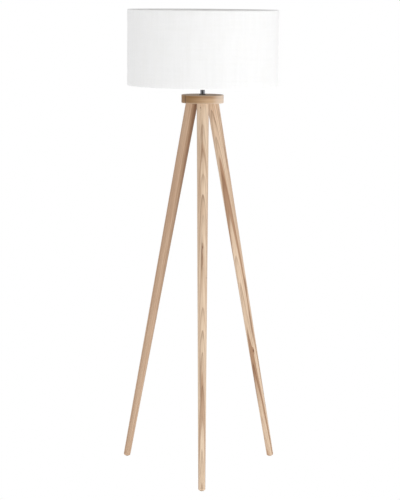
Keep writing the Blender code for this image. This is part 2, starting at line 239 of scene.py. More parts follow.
def revolve(outline: Array, columns: int = 96, ring: bool = True, base: float = 0.0,
            wear: Array | None = None, relief: Relief | None = None,
            angles: Array | None = None, wrap: bool = True) -> Grid:
    """Turns an outline about the lamp's axis: (x, y) = axis + r (cos a, sin a), z = base + height.

    Args:
        outline: (radius, height) points.
        columns: how many steps round, where angles isn't given.
        ring: the outline closes on itself; otherwise it starts and ends on the axis.
        base: added to every height.
        wear: how exposed each outline point is.
        relief: takes radius, height and angle grids and returns changed radius and height grids.
        angles: the columns' own angles, for uneven steps or an open band.
        wrap: the last column joins the first.

    Returns:
        The grid, with a UV map in metres: distance round by distance along the outline.
    """
    angle = np.arange(columns) * FULL_TURN / columns if angles is None else angles
    shape = (len(outline), len(angle))
    r, z = (np.broadcast_to(outline[:, k, None], shape).copy() for k in (0, 1))
    a = np.broadcast_to(angle, shape)
    if relief:
        r, z = relief(r, z, a)
    points = np.stack([AXIS.x + r * np.cos(a), AXIS.y + r * np.sin(a), base + z], axis=-1)
    looped = np.vstack([outline, outline[:1]])
    along = np.concatenate([[0], np.cumsum(np.hypot(*np.diff(looped, axis=0).T))])
    width = outline[:, 0].max()
    around = np.append(angle, angle[0] + FULL_TURN) * width
    uv = np.stack(np.meshgrid(along, around, indexing="ij")[::-1], axis=-1)
    edge = np.broadcast_to((np.zeros(len(outline)) if wear is None else wear)[:, None], shape)
    return Grid(points, ring, wrap, uv, {"edge": edge.copy()})


def turned(corners: Sequence[Corner], base: float, columns: int = 96, ring: bool = True,
           relief: Relief | None = None) -> Grid:
    """A turned piece from filleted corners in millimetres, standing at a base height."""
    outline, wear = filleted(corners, ring)
    return revolve(outline, columns, ring, base, wear, relief)


def sweep(path: Array, side: Array, radius: Array, columns: int = 16) -> Grid:
    """A round bar along a path in one plane: path + radius (cos a . normal + sin a . side).

    Args:
        path: n x 3 points.
        side: the unit vector square to the path's plane.
        radius: the bar's radius at each point.
        columns: steps round the bar.

    Returns:
        The bar with its two ends closed.
    """
    tangent = np.gradient(path, axis=0)
    tangent /= np.linalg.norm(tangent, axis=1, keepdims=True)
    normal = np.cross(side, tangent)
    a = np.arange(columns) * FULL_TURN / columns
    spokes = np.cos(a)[None, :, None] * normal[:, None] + np.sin(a)[None, :, None] * side
    skin = path[:, None] + radius[:, None, None] * spokes
    ends = [np.broadcast_to(path[k], (1, columns, 3)) for k in (0, -1)]
    points = np.concatenate([ends[0], skin, ends[1]])
    return Grid(points, marks={"edge": np.zeros(points.shape[:2])})


def blob(centre: Array, sizes: tuple[float, float, float], turn: float = 0.0) -> Grid:
    """A weld bead: a lumpy ellipsoid, radii scaled by 1 + 0.06 sin(3a) cos(4b), turned about +Z.

    Args:
        centre: its middle.
        sizes: its three radii before the turn.
        turn: in radians.

    Returns:
        The bead, closed at both poles.
    """
    b = np.linspace(0, pi, 13)[:, None]
    a = (np.arange(20) * FULL_TURN / 20)[None]
    lump = 1 + 0.06 * np.sin(3 * a) * np.cos(4 * b) * np.sin(b)
    x, y, z = (sizes[0] * np.sin(b) * np.cos(a) * lump, sizes[1] * np.sin(b) * np.sin(a) * lump,
               sizes[2] * np.cos(b) * lump)
    points = np.stack([centre[0] + x * cos(turn) - y * sin(turn),
                       centre[1] + x * sin(turn) + y * cos(turn), centre[2] + z], axis=-1)
    return Grid(points, marks={"edge": np.zeros(points.shape[:2])})


def ripple(a: Array, b: Array, seed: float) -> Array:
    """A smooth unevenness between -1 and 1: the mean of four waves across a and b.

    Args:
        a, b: the two directions, in radians.
        seed: shifts the waves.

    Returns:
        The unevenness at each point.
    """
    waves = (np.sin(2 * a + 0.7 * b + seed) + np.sin(3 * a - 1.3 * b + 2.1 * seed)
             + np.sin(5 * a + 2.9 * b + 3.7 * seed) + np.sin(7 * a - 4.1 * b + 5.3 * seed))
    return waves / 4


# ------------------------------------------------------------------ shader graphs


def srgb(red: int, green: int, blue: int) -> Colour:
    """A display colour of 0 to 255 a channel as linear light.

    Args:
        red, green, blue: the display values.

    Returns:
        Three channels from 0 to 1.
    """
    value = np.array([red, green, blue]) / 255
    linear = np.where(value <= 0.04045, value / 12.92, ((value + 0.055) / 1.055) ** 2.4)
    return tuple(float(v) for v in linear)


@dataclass
class Graph:
    """Adds nodes to a shader tree and joins them."""

    tree: bpy.types.NodeTree

    def add(self, kind: str, inputs: dict | None = None, **settings: object) -> bpy.types.Node:
        """Adds a node.

        Args:
            kind: the node's type, without its ShaderNode prefix.
            inputs: socket name or number to a value or to another node's output.
            settings: the node's own properties.

        Returns:
            The node.
        """
        made = self.tree.nodes.new("ShaderNode" + kind)
        for key, value in settings.items():
            setattr(made, key, value)
        for key, value in (inputs or {}).items():
            if isinstance(value, Socket):
                self.tree.links.new(value, made.inputs[key])
            elif made.inputs[key].type == "RGBA":
                made.inputs[key].default_value = (*value, 1)
            else:
                made.inputs[key].default_value = value
        return made

    def math(self, operation: str, first: object, second: object = 0.0,
             clamp: bool = False) -> Socket:
        """The output of a Math node."""
        return self.add("Math", {0: first, 1: second}, operation=operation, use_clamp=clamp).outputs[0]

    def scale(self, vector: Socket, by: tuple[float, float, float]) -> Socket:
        """A vector multiplied axis by axis."""
        return self.add("VectorMath", {0: vector, 1: by}, operation="MULTIPLY").outputs[0]

    def shift(self, vector: object, by: object) -> Socket:
        """Two vectors added."""
        return self.add("VectorMath", {0: vector, 1: by}, operation="ADD").outputs[0]

    def mix(self, factor: object, first: object, second: object, how: str = "MIX") -> Socket:
        """Two colours blended."""
        made = self.add("Mix", {0: factor, 6: first, 7: second}, data_type="RGBA", blend_type=how)
        return made.outputs[2]

    def noise(self, vector: object, size: float, detail: float = 2, rough: float = 0.5) -> Socket:
        """Smooth noise between 0 and 1, with that many cells to a metre."""
        return self.add("TexNoise", {"Vector": vector, "Scale": size, "Detail": detail,
                                     "Roughness": rough}).outputs["Fac"]

    def ramp(self, factor: object, *stops: tuple[float, float]) -> Socket:
        """A value mapped through (place, value) stops.

        Args:
            factor: the value.
            stops: (place, value) pairs in order.

        Returns:
            The mapped value.
        """
        made = self.add("ValToRGB", {0: factor})
        elements = made.color_ramp.elements
        while len(elements) < len(stops):
            elements.new(0.5)
        for element, (place, value) in zip(elements, stops):
            element.position = place
            element.color = (value, value, value, 1)
        return made.outputs[0]

    def between(self, value: object, low: float, high: float, out_low: float = 0.0,
                out_high: float = 1.0) -> Socket:
        """A value carried smoothly from low..high to out_low..out_high.

        Args:
            value: what is carried over.
            low, high: its range.
            out_low, out_high: the range that it is carried to.

        Returns:
            The new value.
        """
        made = self.add("MapRange", {"Value": value, "From Min": low, "From Max": high,
                                     "To Min": out_low, "To Max": out_high}, interpolation_type="SMOOTHSTEP")
        return made.outputs[0]

    def group(self, name: str, inputs: dict) -> bpy.types.Node:
        """Places one of the shared effects in this tree.

        Args:
            name: its key in SHARED.
            inputs: input name to a value or another node's output.

        Returns:
            The group's node.
        """
        made = self.tree.nodes.new("ShaderNodeGroup")
        made.node_tree = shared_group(name)
        for key, value in inputs.items():
            if isinstance(value, Socket):
                self.tree.links.new(value, made.inputs[key])
            else:
                made.inputs[key].default_value = value
        return made

    def bump(self, height: object, strength: float, distance: float) -> Socket:
        """A normal from a height."""
        return self.add("Bump", {"Height": height, "Strength": strength, "Distance": distance}).outputs[0]


def growth_rings(graph: Graph, given: bpy.types.Node) -> dict[str, Socket]:
    """Rings of a tree: the distance from a wandering pith line, cut into steps of one ring width.

    Timber runs along its third axis.  Each ring starts with a sharp dark line and fades, and each has
    its own strength.  Bands of browner years are noise along the ring count, and a pin knot pushes
    the rings round itself.

    Args:
        graph: the group's graph.
        given: the group's input node.

    Returns:
        Output name to the socket that feeds it.
    """
    timber = given.outputs["Timber"]
    wide = graph.add("TexNoise", {"Vector": graph.scale(timber, (9, 9, 1.1)), "Scale": 1.0, "Detail": 2.0})
    centred = graph.shift(wide.outputs["Color"], (-0.5, -0.5, -0.5))
    wander = graph.add("VectorMath", {0: centred, "Scale": given.outputs["Wander"]}, operation="SCALE")
    fine = graph.add("TexNoise", {"Vector": graph.scale(timber, (60, 60, 7)), "Scale": 1.0, "Detail": 1.0})
    quiver = graph.scale(graph.shift(fine.outputs["Color"], (-0.5, -0.5, -0.5)), (0.0022, 0.0022, 0.0))
    apart = graph.add("VectorMath", {0: timber, 1: given.outputs["Knot"]}, operation="SUBTRACT")
    near = graph.add("VectorMath", {0: graph.scale(apart.outputs[0], (1, 1, 0.35))}, operation="LENGTH")
    around = graph.math("DIVIDE", near.outputs["Value"], given.outputs["Knot Size"])
    swirl = graph.between(around, 0.0, 3.2, 1.0, 0.0)
    place = graph.shift(graph.shift(timber, wander.outputs[0]), graph.shift(quiver, given.outputs["Pith"]))
    axes = graph.add("SeparateXYZ", {0: place})
    drift = graph.math("MULTIPLY", axes.outputs["Z"], given.outputs["Drift"])
    across = graph.add("CombineXYZ", {0: graph.math("ADD", axes.outputs["X"], drift), 1: axes.outputs["Y"]})
    away = graph.add("VectorMath", {0: across.outputs[0]}, operation="LENGTH").outputs["Value"]
    count = graph.math("DIVIDE", away, given.outputs["Ring Width"])
    count = graph.math("ADD", count, graph.math("MULTIPLY", swirl, 1.6))
    step = graph.math("FRACT", count)
    number = graph.math("FLOOR", count)
    own = graph.add("TexWhiteNoise", {"W": number}, noise_dimensions="1D").outputs["Value"]
    line = graph.ramp(step, (0.0, 0.55), (0.05, 1.0), (0.14, 0.82), (0.42, 0.2), (0.8, 0.0), (1.0, 0.12))
    strength = graph.ramp(own, (0.0, 0.2), (0.55, 0.5), (1.0, 1.0))
    years = graph.add("TexNoise", {"W": graph.math("MULTIPLY", count, 0.42), "Scale": 1.0, "Detail": 1.5},
                      noise_dimensions="1D").outputs["Fac"]
    return {"Line": graph.math("MULTIPLY", line, strength), "Tone": own,
            "Band": graph.between(years, 0.5, 0.64), "Knot": graph.between(around, 0.4, 1.1, 1.0, 0.0)}


def wood_fibres(graph: Graph, given: bpy.types.Node) -> dict[str, Socket]:
    """Noise drawn out along the grain: fine fibres, short open pores and broad streaks.

    Args:
        graph: the group's graph.
        given: the group's input node.

    Returns:
        Output name to the socket that feeds it.
    """
    timber = given.outputs["Timber"]
    fibre = graph.noise(graph.scale(timber, (420, 420, 6)), 1.0, 5, 0.6)
    pores = graph.noise(graph.scale(timber, (1500, 1500, 55)), 1.0, 2, 0.5)
    streak = graph.noise(graph.scale(timber, (48, 48, 1.4)), 1.0, 3, 0.55)
    return {"Fibre": graph.between(fibre, 0.3, 0.72), "Pores": graph.between(pores, 0.56, 0.72),
            "Streak": graph.between(streak, 0.44, 0.68)}


def plain_weave(graph: Graph, given: bpy.types.Node) -> dict[str, Socket]:
    """Plain weave: each thread is a parabola across, 1 - (2f - 1)^2, dipping where it goes under.

    A cell is warp-over where the whole numbers of threads along both ways add to an even number.
    Slubs are noise drawn out along each thread, and streaks are the same at the scale of many threads.

    Args:
        graph: the group's graph.
        given: the group's input node.

    Returns:
        Output name to the socket that feeds it.
    """
    threads = graph.add("VectorMath", {0: given.outputs["Cloth"], "Scale": given.outputs["Threads"]},
                        operation="SCALE").outputs[0]
    axes = graph.add("SeparateXYZ", {0: threads})
    hills, floors = [], []
    for axis in (axes.outputs["X"], axes.outputs["Y"]):
        centred = graph.math("SUBTRACT", graph.math("MULTIPLY", graph.math("FRACT", axis), 2.0), 1.0)
        hills.append(graph.math("SUBTRACT", 1.0, graph.math("POWER", graph.math("ABSOLUTE", centred), 2.0)))
        floors.append(graph.math("FLOOR", axis))
    parity = graph.math("MODULO", graph.math("ABSOLUTE", graph.math("ADD", *floors)), 2.0)
    over = graph.math("GREATER_THAN", parity, 0.5)
    ways = []
    for k in (0, 1):
        dip = graph.math("ADD", graph.math("MULTIPLY", hills[1 - k], 0.45), 0.55)
        ways.append(graph.math("MULTIPLY", hills[k], dip))
    height = graph.add("Mix", {0: over, 2: ways[0], 3: ways[1]}, data_type="FLOAT").outputs[0]
    cloth = given.outputs["Cloth"]
    slub_up = graph.noise(graph.scale(cloth, (900, 16, 1)), 1.0, 3, 0.6)
    slub_round = graph.noise(graph.scale(cloth, (16, 900, 1)), 1.0, 3, 0.6)
    slub = graph.math("MULTIPLY", graph.math("ADD", slub_up, slub_round), 0.5)
    broad_up = graph.noise(graph.scale(cloth, (110, 5, 1)), 1.0, 3, 0.6)
    broad_round = graph.noise(graph.scale(cloth, (4, 130, 1)), 1.0, 3, 0.6)
    broad = graph.math("ADD", graph.math("MULTIPLY", broad_up, 0.6), graph.math("MULTIPLY", broad_round, 0.4))
    return {"Height": height, "Slub": graph.between(slub, 0.36, 0.64),
            "Streak": graph.between(broad, 0.4, 0.62)}


def edge_wear(graph: Graph, given: bpy.types.Node) -> dict[str, Socket]:
    """Where an exposed edge is rubbed: the piece's edge mark broken up by noise.

    Args:
        graph: the group's graph.
        given: the group's input node.

    Returns:
        Output name to the socket that feeds it.
    """
    patches = graph.noise(given.outputs["Place"], 180.0, 4, 0.65)
    broken = graph.math("MULTIPLY", given.outputs["Edge"], graph.between(patches, 0.35, 0.62))
    return {"Worn": graph.math("MULTIPLY", broken, given.outputs["Amount"], clamp=True)}


def handling(graph: Graph, given: bpy.types.Node) -> dict[str, Socket]:
    """Faint smudges and settled dust: broad soft noise with a fine one laid over it.

    Args:
        graph: the group's graph.
        given: the group's input node.

    Returns:
        Output name to the socket that feeds it.
    """
    broad = graph.noise(given.outputs["Place"], 28.0, 4, 0.6)
    fine = graph.noise(given.outputs["Place"], 700.0, 3, 0.6)
    return {"Smudge": graph.between(broad, 0.42, 0.7), "Speck": graph.between(fine, 0.6, 0.74)}


SHARED = {
    "growth_rings": (growth_rings, {"Timber": "Vector", "Pith": "Vector", "Ring Width": "Float",
                                    "Drift": "Float", "Wander": "Float", "Knot": "Vector",
                                    "Knot Size": "Float"}),
    "wood_fibres": (wood_fibres, {"Timber": "Vector"}),
    "plain_weave": (plain_weave, {"Cloth": "Vector", "Threads": "Float"}),
    "edge_wear": (edge_wear, {"Place": "Vector", "Edge": "Float", "Amount": "Float"}),
    "handling": (handling, {"Place": "Vector"}),
}


def shared_group(name: str) -> bpy.types.NodeTree:
    """One of the shared effects, built the first time that it is asked for.

    Args:
        name: its key in SHARED.

    Returns:
        The group's tree.
    """
    found = bpy.data.node_groups.get(name)
    if found:
        return found
    build, inputs = SHARED[name]
    tree = bpy.data.node_groups.new(name, "ShaderNodeTree")
    for key, kind in inputs.items():
        tree.interface.new_socket(key, in_out="INPUT", socket_type="NodeSocket" + kind)
    given = tree.nodes.new("NodeGroupInput")
    out = tree.nodes.new("NodeGroupOutput")
    for key, socket in build(Graph(tree), given).items():
        tree.interface.new_socket(key, in_out="OUTPUT", socket_type="NodeSocketFloat")
        tree.links.new(socket, out.inputs[key])
    return tree


# ------------------------------------------------------------------ finishes

CLOTH_THREADS = 1900.0  # threads to a metre
# brown heartwood, also used as painted shade on the left leg's inner side below the collar
DEEP_HEART_AND_SHADE = srgb(128, 92, 62)
PORE = srgb(96, 64, 40)
KNOT = srgb(92, 58, 36)
MINERAL_STAIN = srgb(118, 78, 52)
SANDED_ASH = srgb(236, 214, 186)
OLD_GLUE = srgb(70, 48, 34)
LINER_GLUE = srgb(236, 233, 226)
LINER_DUST = srgb(214, 210, 202)


@dataclass(frozen=True)
class Finish:
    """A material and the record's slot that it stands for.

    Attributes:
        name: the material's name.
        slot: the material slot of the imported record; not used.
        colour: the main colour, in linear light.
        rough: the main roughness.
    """

    name: str
    slot: str
    colour: Colour
    rough: float

    def material(self) -> bpy.types.Material:
        """The finished material, built once.

        Returns:
            The material.
        """
        found = bpy.data.materials.get(self.name)
        if found:
            return found
        made = bpy.data.materials.new(self.name)
        made.use_nodes = True
        graph = Graph(made.node_tree)
        shader = made.node_tree.nodes["Principled BSDF"]
        shader.inputs["Base Color"].default_value = (*self.colour, 1)
        shader.inputs["Roughness"].default_value = self.rough
        for key, socket in self.shade(graph, shader).items():
            made.node_tree.links.new(socket, shader.inputs[key])
        return made

    def shade(self, graph: Graph, shader: bpy.types.Node) -> dict[str, Socket]:
        """Adds the finish's own detail.

        Args:
            graph: the material's graph.
            shader: its Principled BSDF, whose constants are set here.

        Returns:
            Principled input name to the output that feeds it.
        """
        raise NotImplementedError

    def place(self, graph: Graph) -> Socket:
        """Object coordinates, in metres."""
        return graph.add("TexCoord").outputs["Object"]

    def worn(self, graph: Graph, amount: float) -> Socket:
        """The mask of rubbed edges.

        Args:
            graph: the material's graph.
            amount: how much is rubbed.

        Returns:
            The mask.
        """
        edge = graph.add("Attribute", attribute_name="edge").outputs["Fac"]
        fed = {"Place": self.place(graph), "Edge": edge, "Amount": amount}
        return graph.group("edge_wear", fed).outputs[0]


@dataclass(frozen=True)
class Stain:
    """A dark streak or pin mark in wood.

    Attributes:
        place: its middle, in the timber's coordinates.
        radius: half its width.
        length: half its length along the grain.
        depth: how dark it is.
    """

    place: tuple[float, float, float]
    radius: float
    length: float
    depth: float = 0.7

    def mask(self, graph: Graph, timber: Socket) -> Socket:
        """Distance from the middle, squeezed along the grain and roughened, turned into a soft spot.

        Args:
            graph: the material's graph.
            timber: the timber coordinates.

        Returns:
            The mask, depth at its middle and 0 outside.
        """
        away = graph.add("VectorMath", {0: timber, 1: self.place}, operation="SUBTRACT").outputs[0]
        squeezed = graph.scale(away, (1, 1, self.radius / self.length))
        far = graph.add("VectorMath", {0: squeezed}, operation="LENGTH").outputs["Value"]
        torn = graph.noise(graph.scale(timber, (700, 700, 40)), 1.0, 3, 0.6)
        ragged = graph.math("MULTIPLY", graph.math("SUBTRACT", torn, 0.5), 1.1 * self.radius)
        far = graph.math("ADD", far, ragged)
        return graph.between(far, 0.25 * self.radius, self.radius, self.depth, 0.0)


class GrainSource(Enum):
    """Where a wooden piece's grain runs."""

    OWN = "the piece's timber attribute"
    BOARD = "a board lying flat, grain along X"


@dataclass(frozen=True)
class AshWood(Finish):
    """Oiled ash: pale wood, tan fibres, brown early-wood lines and open pores.

    Attributes:
        tan, line, heart: colours of fibres, ring lines and heartwood streaks.
        pith: from the timber's own origin to the pith, across the grain.
        ring_width, drift, wander: the rings' spacing, run-out for each metre and waviness.
        knot, knot_size: a pin knot in timber coordinates.
        heartwood: how much of the streaks shows.
        heart_and_shade_side, heart_and_shade_end: the side of the timber that is painted brown, heartwood
        together with painted shade where the other legs and the collar shadow it, and where it has faded out.
        contrast, banding: how much of the ring lines, and of the browner years, shows.
        rub: how worn its edges are.
        stains: its dark streaks and marks.
        source: where the grain runs.
    """

    tan: Colour = srgb(208, 180, 151)
    line: Colour = srgb(124, 88, 62)
    heart: Colour = srgb(162, 120, 88)
    pith: tuple[float, float, float] = (0.03, 0.01, 0.0)
    ring_width: float = 3.4 * MM
    drift: float = 0.016
    wander: float = 14 * MM
    knot: tuple[float, float, float] = (0.0, 0.0, 9.0)
    knot_size: float = 2.5 * MM
    heartwood: float = 0.4
    heart_and_shade_side: tuple[float, float, float] = (0.0, 0.0, 0.0)
    heart_and_shade_end: float = 0.5
    contrast: float = 0.85
    banding: float = 0.8
    rub: float = 0.45
    stains: tuple[Stain, ...] = ()
    source: GrainSource = GrainSource.OWN

    def shade(self, graph: Graph, shader: bpy.types.Node) -> dict[str, Socket]:
        """Ring lines, fibres, pores and streaks from the timber's own coordinates.

        Args:
            graph: the material's graph.
            shader: its Principled BSDF, whose constants are set here.

        Returns:
            Principled input name to the output that feeds it.
        """
        if self.source is GrainSource.OWN:
            timber = graph.add("Attribute", attribute_name="timber").outputs["Vector"]
        else:
            board = graph.add("Mapping", {"Vector": self.place(graph), "Rotation": (0, pi / 2, 0)})
            timber = board.outputs[0]
        rings = graph.group("growth_rings", {
            "Timber": timber, "Pith": self.pith, "Ring Width": self.ring_width, "Drift": self.drift,
            "Wander": self.wander, "Knot": self.knot, "Knot Size": self.knot_size})
        fibres = graph.group("wood_fibres", {"Timber": timber})
        line = graph.math("MULTIPLY", rings.outputs["Line"], self.contrast)
        streak = graph.math("MULTIPLY", fibres.outputs["Streak"], self.heartwood)
        colour = graph.mix(fibres.outputs["Fibre"], self.colour, self.tan)
        colour = graph.mix(graph.math("MULTIPLY", rings.outputs["Tone"], 0.25), colour, self.tan)
        colour = graph.mix(streak, colour, self.heart)
        colour = graph.mix(graph.math("MULTIPLY", rings.outputs["Band"], self.banding), colour, self.heart)
        # heartwood together with painted shade: the brown side darkens where the other legs and the collar
        # shadow it
        colour = graph.mix(self.heartwood_and_shade(graph, timber), colour, DEEP_HEART_AND_SHADE)
        colour = graph.mix(line, colour, self.line)
        in_line = graph.math("ADD", line, 0.12)
        open_pores = graph.math("MULTIPLY", fibres.outputs["Pores"], in_line, clamp=True)
        colour = graph.mix(graph.math("MULTIPLY", open_pores, 0.7), colour, PORE)
        colour = graph.mix(graph.math("MULTIPLY", rings.outputs["Knot"], 0.8), colour, KNOT)
        for stain in self.stains:
            colour = graph.mix(stain.mask(graph, timber), colour, MINERAL_STAIN)
        rubbed = self.worn(graph, self.rub)
        colour = graph.mix(rubbed, colour, SANDED_ASH)
        touched = graph.group("handling", {"Place": self.place(graph)}).outputs["Smudge"]
        rough = graph.math("ADD", graph.math("MULTIPLY", line, 0.14), graph.math("MULTIPLY", touched, 0.07))
        rough = graph.math("ADD", rough, self.rough)
        height = graph.math("SUBTRACT", graph.math("MULTIPLY", fibres.outputs["Fibre"], 0.25),
                            graph.math("ADD", graph.math("MULTIPLY", line, 0.5), open_pores))
        shader.inputs["Specular IOR Level"].default_value = 0.35
        return {"Base Color": colour, "Roughness": rough, "Normal": graph.bump(height, 0.5, 0.25 * MM)}

    def heartwood_and_shade(self, graph: Graph, timber: Socket) -> Socket:
        """How far a point lies to the brown side, heartwood together with painted shade, with a wavy border,
        fading along the grain.

        Args:
            graph: the material's graph.
            timber: the timber coordinates.

        Returns:
            The mask, from 0 to 0.9.
        """
        wavy = graph.noise(graph.scale(timber, (60, 60, 3)), 1.0, 2)
        aside = graph.add("VectorMath", {0: timber, 1: self.heart_and_shade_side}, operation="DOT_PRODUCT")
        border = graph.math("ADD", aside.outputs["Value"], graph.math("MULTIPLY", wavy, 8 * MM))
        mask = graph.between(border, 3 * MM, 20 * MM)
        along = graph.add("SeparateXYZ", {0: timber}).outputs["Z"]
        return graph.math("MULTIPLY", mask, graph.between(along, 0.0, self.heart_and_shade_end, 0.9, 0.0))


@dataclass(frozen=True)
class BandVeneer(AshWood):
    """The collar's edge band: ash veneer that runs from brown to pale round the collar; the brown side is
    veneer colour with painted shade, and the pale side is a painted highlight.

    Attributes:
        brown, pale: colours at the two ends of its tone attribute: brown veneer with painted shade, and a
            painted highlight.
    """

    brown: Colour = srgb(130, 92, 42)
    pale: Colour = srgb(226, 208, 190)

    def shade(self, graph: Graph, shader: bpy.types.Node) -> dict[str, Socket]:
        """The wood's own detail, tinted by tone, 0 brown veneer with painted shade and 1 pale, a painted
        highlight; its rounded edges lightened by a painted highlight, and dark with glue at its joint.

        Args:
            graph: the material's graph.
            shader: its Principled BSDF, whose constants are set here.

        Returns:
            Principled input name to the output that feeds it.
        """
        fed = super().shade(graph, shader)
        tone = graph.add("Attribute", attribute_name="tone").outputs["Fac"]
        # painted shade and highlight: brown veneer darkened towards the shaded side, pale as a painted
        # highlight on the lit side
        colour = graph.mix(graph.between(tone, 0.1, 0.88, 0.9, 0.0), fed["Base Color"], self.brown)
        colour = graph.mix(graph.between(tone, 0.78, 1.0, 0.0, 0.7), colour, self.pale)
        # painted highlight: the band's rounded edges, the lower one most, lightened where the floor's light
        # catches them
        painted_edge_highlight = graph.add("Attribute", attribute_name="edge").outputs["Fac"]
        colour = graph.mix(graph.math("MULTIPLY", painted_edge_highlight, 0.4), colour, self.pale)
        glue = graph.add("Attribute", attribute_name="joint").outputs["Fac"]
        fed["Base Color"] = graph.mix(graph.math("MULTIPLY", glue, 0.85), colour, OLD_GLUE)
        return fed


@dataclass(frozen=True)
class WovenCloth(Finish):
    """Plain-woven cloth: a weave and slubs that follow the cloth's own map in metres.

    Attributes:
        threads: threads to a metre.
        soft: sheen of the loose fibre ends.
        shadow: the colour between threads.
    """

    threads: float = CLOTH_THREADS
    soft: float = 0.25
    shadow: Colour = srgb(224, 224, 223)

    def shade(self, graph: Graph, shader: bpy.types.Node) -> dict[str, Socket]:
        """Threads over and under, thick and thin stretches, and a little uneven bleach.

        Args:
            graph: the material's graph.
            shader: its Principled BSDF, whose constants are set here.

        Returns:
            Principled input name to the output that feeds it.
        """
        cloth = graph.add("UVMap", uv_map="UVMap").outputs[0]
        weave = graph.group("plain_weave", {"Cloth": cloth, "Threads": self.threads})
        uneven = graph.group("handling", {"Place": self.place(graph)}).outputs["Smudge"]
        gaps = graph.between(weave.outputs["Height"], 0.45, 0.1)
        colour = graph.mix(graph.math("MULTIPLY", gaps, 0.55), self.colour, self.shadow)
        colour = graph.mix(graph.math("MULTIPLY", weave.outputs["Slub"], 0.16), colour, self.shadow)
        colour = graph.mix(graph.math("MULTIPLY", weave.outputs["Streak"], 0.14), colour, self.shadow)
        colour = graph.mix(graph.math("MULTIPLY", uneven, 0.1), colour, srgb(238, 236, 230))
        thick = graph.math("MULTIPLY", weave.outputs["Slub"], 1.2)
        height = graph.math("ADD", weave.outputs["Height"], thick)
        shader.inputs["Sheen Weight"].default_value = self.soft
        shader.inputs["Sheen Roughness"].default_value = 0.5
        shader.inputs["Specular IOR Level"].default_value = 0.2
        rough = graph.math("SUBTRACT", self.rough, graph.math("MULTIPLY", weave.outputs["Height"], 0.06))
        return {"Base Color": colour, "Roughness": rough, "Normal": graph.bump(height, 0.55, 0.16 * MM)}


@dataclass(frozen=True)
class StiffFilm(Finish):
    """The liner's film, white on the lamp but drawn grey as painted shade inside the drum: smooth, faintly
    ribbed by the cloth that is glued behind it.
    """

    def shade(self, graph: Graph, shader: bpy.types.Node) -> dict[str, Socket]:
        """The cloth's weave pressed through, with glue mottle and settled dust.

        Args:
            graph: the material's graph.
            shader: its Principled BSDF, whose constants are set here.

        Returns:
            Principled input name to the output that feeds it.
        """
        cloth = graph.add("UVMap", uv_map="UVMap").outputs[0]
        weave = graph.group("plain_weave", {"Cloth": cloth, "Threads": CLOTH_THREADS})
        marks = graph.group("handling", {"Place": self.place(graph)})
        mottle = graph.math("MULTIPLY", marks.outputs["Smudge"], 0.3)
        colour = graph.mix(mottle, self.colour, LINER_GLUE)
        colour = graph.mix(graph.math("MULTIPLY", marks.outputs["Speck"], 0.3), colour, LINER_DUST)
        rough = graph.math("ADD", graph.math("MULTIPLY", marks.outputs["Smudge"], 0.14), self.rough)
        pressed = graph.math("MULTIPLY", weave.outputs["Height"], 0.25)
        height = graph.math("ADD", pressed, marks.outputs["Smudge"])
        return {"Base Color": colour, "Roughness": rough, "Normal": graph.bump(height, 0.25, 0.1 * MM)}


@dataclass(frozen=True)
class PlatedMetal(Finish):
    """Polished or drawn metal: fine scratches round the piece, smudges and bare rubbed edges.

    Attributes:
        bright: the colour of a rubbed edge.
        scratch: how strongly the drawing marks show.
        wear: how much of the edges is rubbed.
    """

    bright: Colour = srgb(225, 223, 219)
    scratch: float = 0.1
    wear: float = 0.5

    def shade(self, graph: Graph, shader: bpy.types.Node) -> dict[str, Socket]:
        """Drawing marks as noise that changes fast along +Z and slowly round the piece.

        Args:
            graph: the material's graph.
            shader: its Principled BSDF, whose constants are set here.

        Returns:
            Principled input name to the output that feeds it.
        """
        place = self.place(graph)
        marks = graph.group("handling", {"Place": place})
        drawn = graph.noise(graph.scale(place, (25, 25, 5200)), 1.0, 2, 0.5)
        rubbed = self.worn(graph, self.wear)
        colour = graph.mix(rubbed, self.colour, self.bright)
        colour = graph.mix(graph.math("MULTIPLY", marks.outputs["Smudge"], 0.12), colour, srgb(120, 112, 100))
        rough = graph.math("ADD", graph.math("MULTIPLY", drawn, self.scratch),
                           graph.math("MULTIPLY", marks.outputs["Smudge"], 0.08))
        rough = graph.math("ADD", rough, self.rough)
        shader.inputs["Metallic"].default_value = 1.0
        return {"Base Color": colour, "Roughness": rough,
                "Normal": graph.bump(drawn, self.scratch, 0.02 * MM)}


@dataclass(frozen=True)
class Coated(Finish):
    """Moulded plastic, powder coat or glaze: a fine surface texture with dust and rubbed edges.

    Attributes:
        texture: cells to a metre of the surface texture.
        relief: how deep it looks.
        coat: a clear gloss coat's weight.
        clear: light let through, for opal glass.
    """

    texture: float = 2600.0
    relief: float = 0.15
    coat: float = 0.0
    clear: float = 0.0

    def shade(self, graph: Graph, shader: bpy.types.Node) -> dict[str, Socket]:
        """Texture noise for the bump, handling marks for colour and gloss.

        Args:
            graph: the material's graph.
            shader: its Principled BSDF, whose constants are set here.

        Returns:
            Principled input name to the output that feeds it.
        """
        place = self.place(graph)
        marks = graph.group("handling", {"Place": place})
        skin = graph.noise(place, self.texture, 2, 0.5)
        dark = tuple(0.82 * v for v in self.colour)
        colour = graph.mix(graph.math("MULTIPLY", marks.outputs["Smudge"], 0.18), self.colour, dark)
        colour = graph.mix(graph.math("MULTIPLY", marks.outputs["Speck"], 0.22), colour, srgb(196, 190, 178))
        colour = graph.mix(self.worn(graph, 0.35), colour, tuple(min(1.0, 1.15 * v) for v in self.colour))
        rough = graph.math("ADD", graph.math("MULTIPLY", marks.outputs["Smudge"], 0.12), self.rough)
        shader.inputs["Coat Weight"].default_value = self.coat
        shader.inputs["Coat Roughness"].default_value = 0.08
        shader.inputs["Transmission Weight"].default_value = self.clear
        return {"Base Color": colour, "Roughness": rough, "Normal": graph.bump(skin, self.relief, 0.08 * MM)}


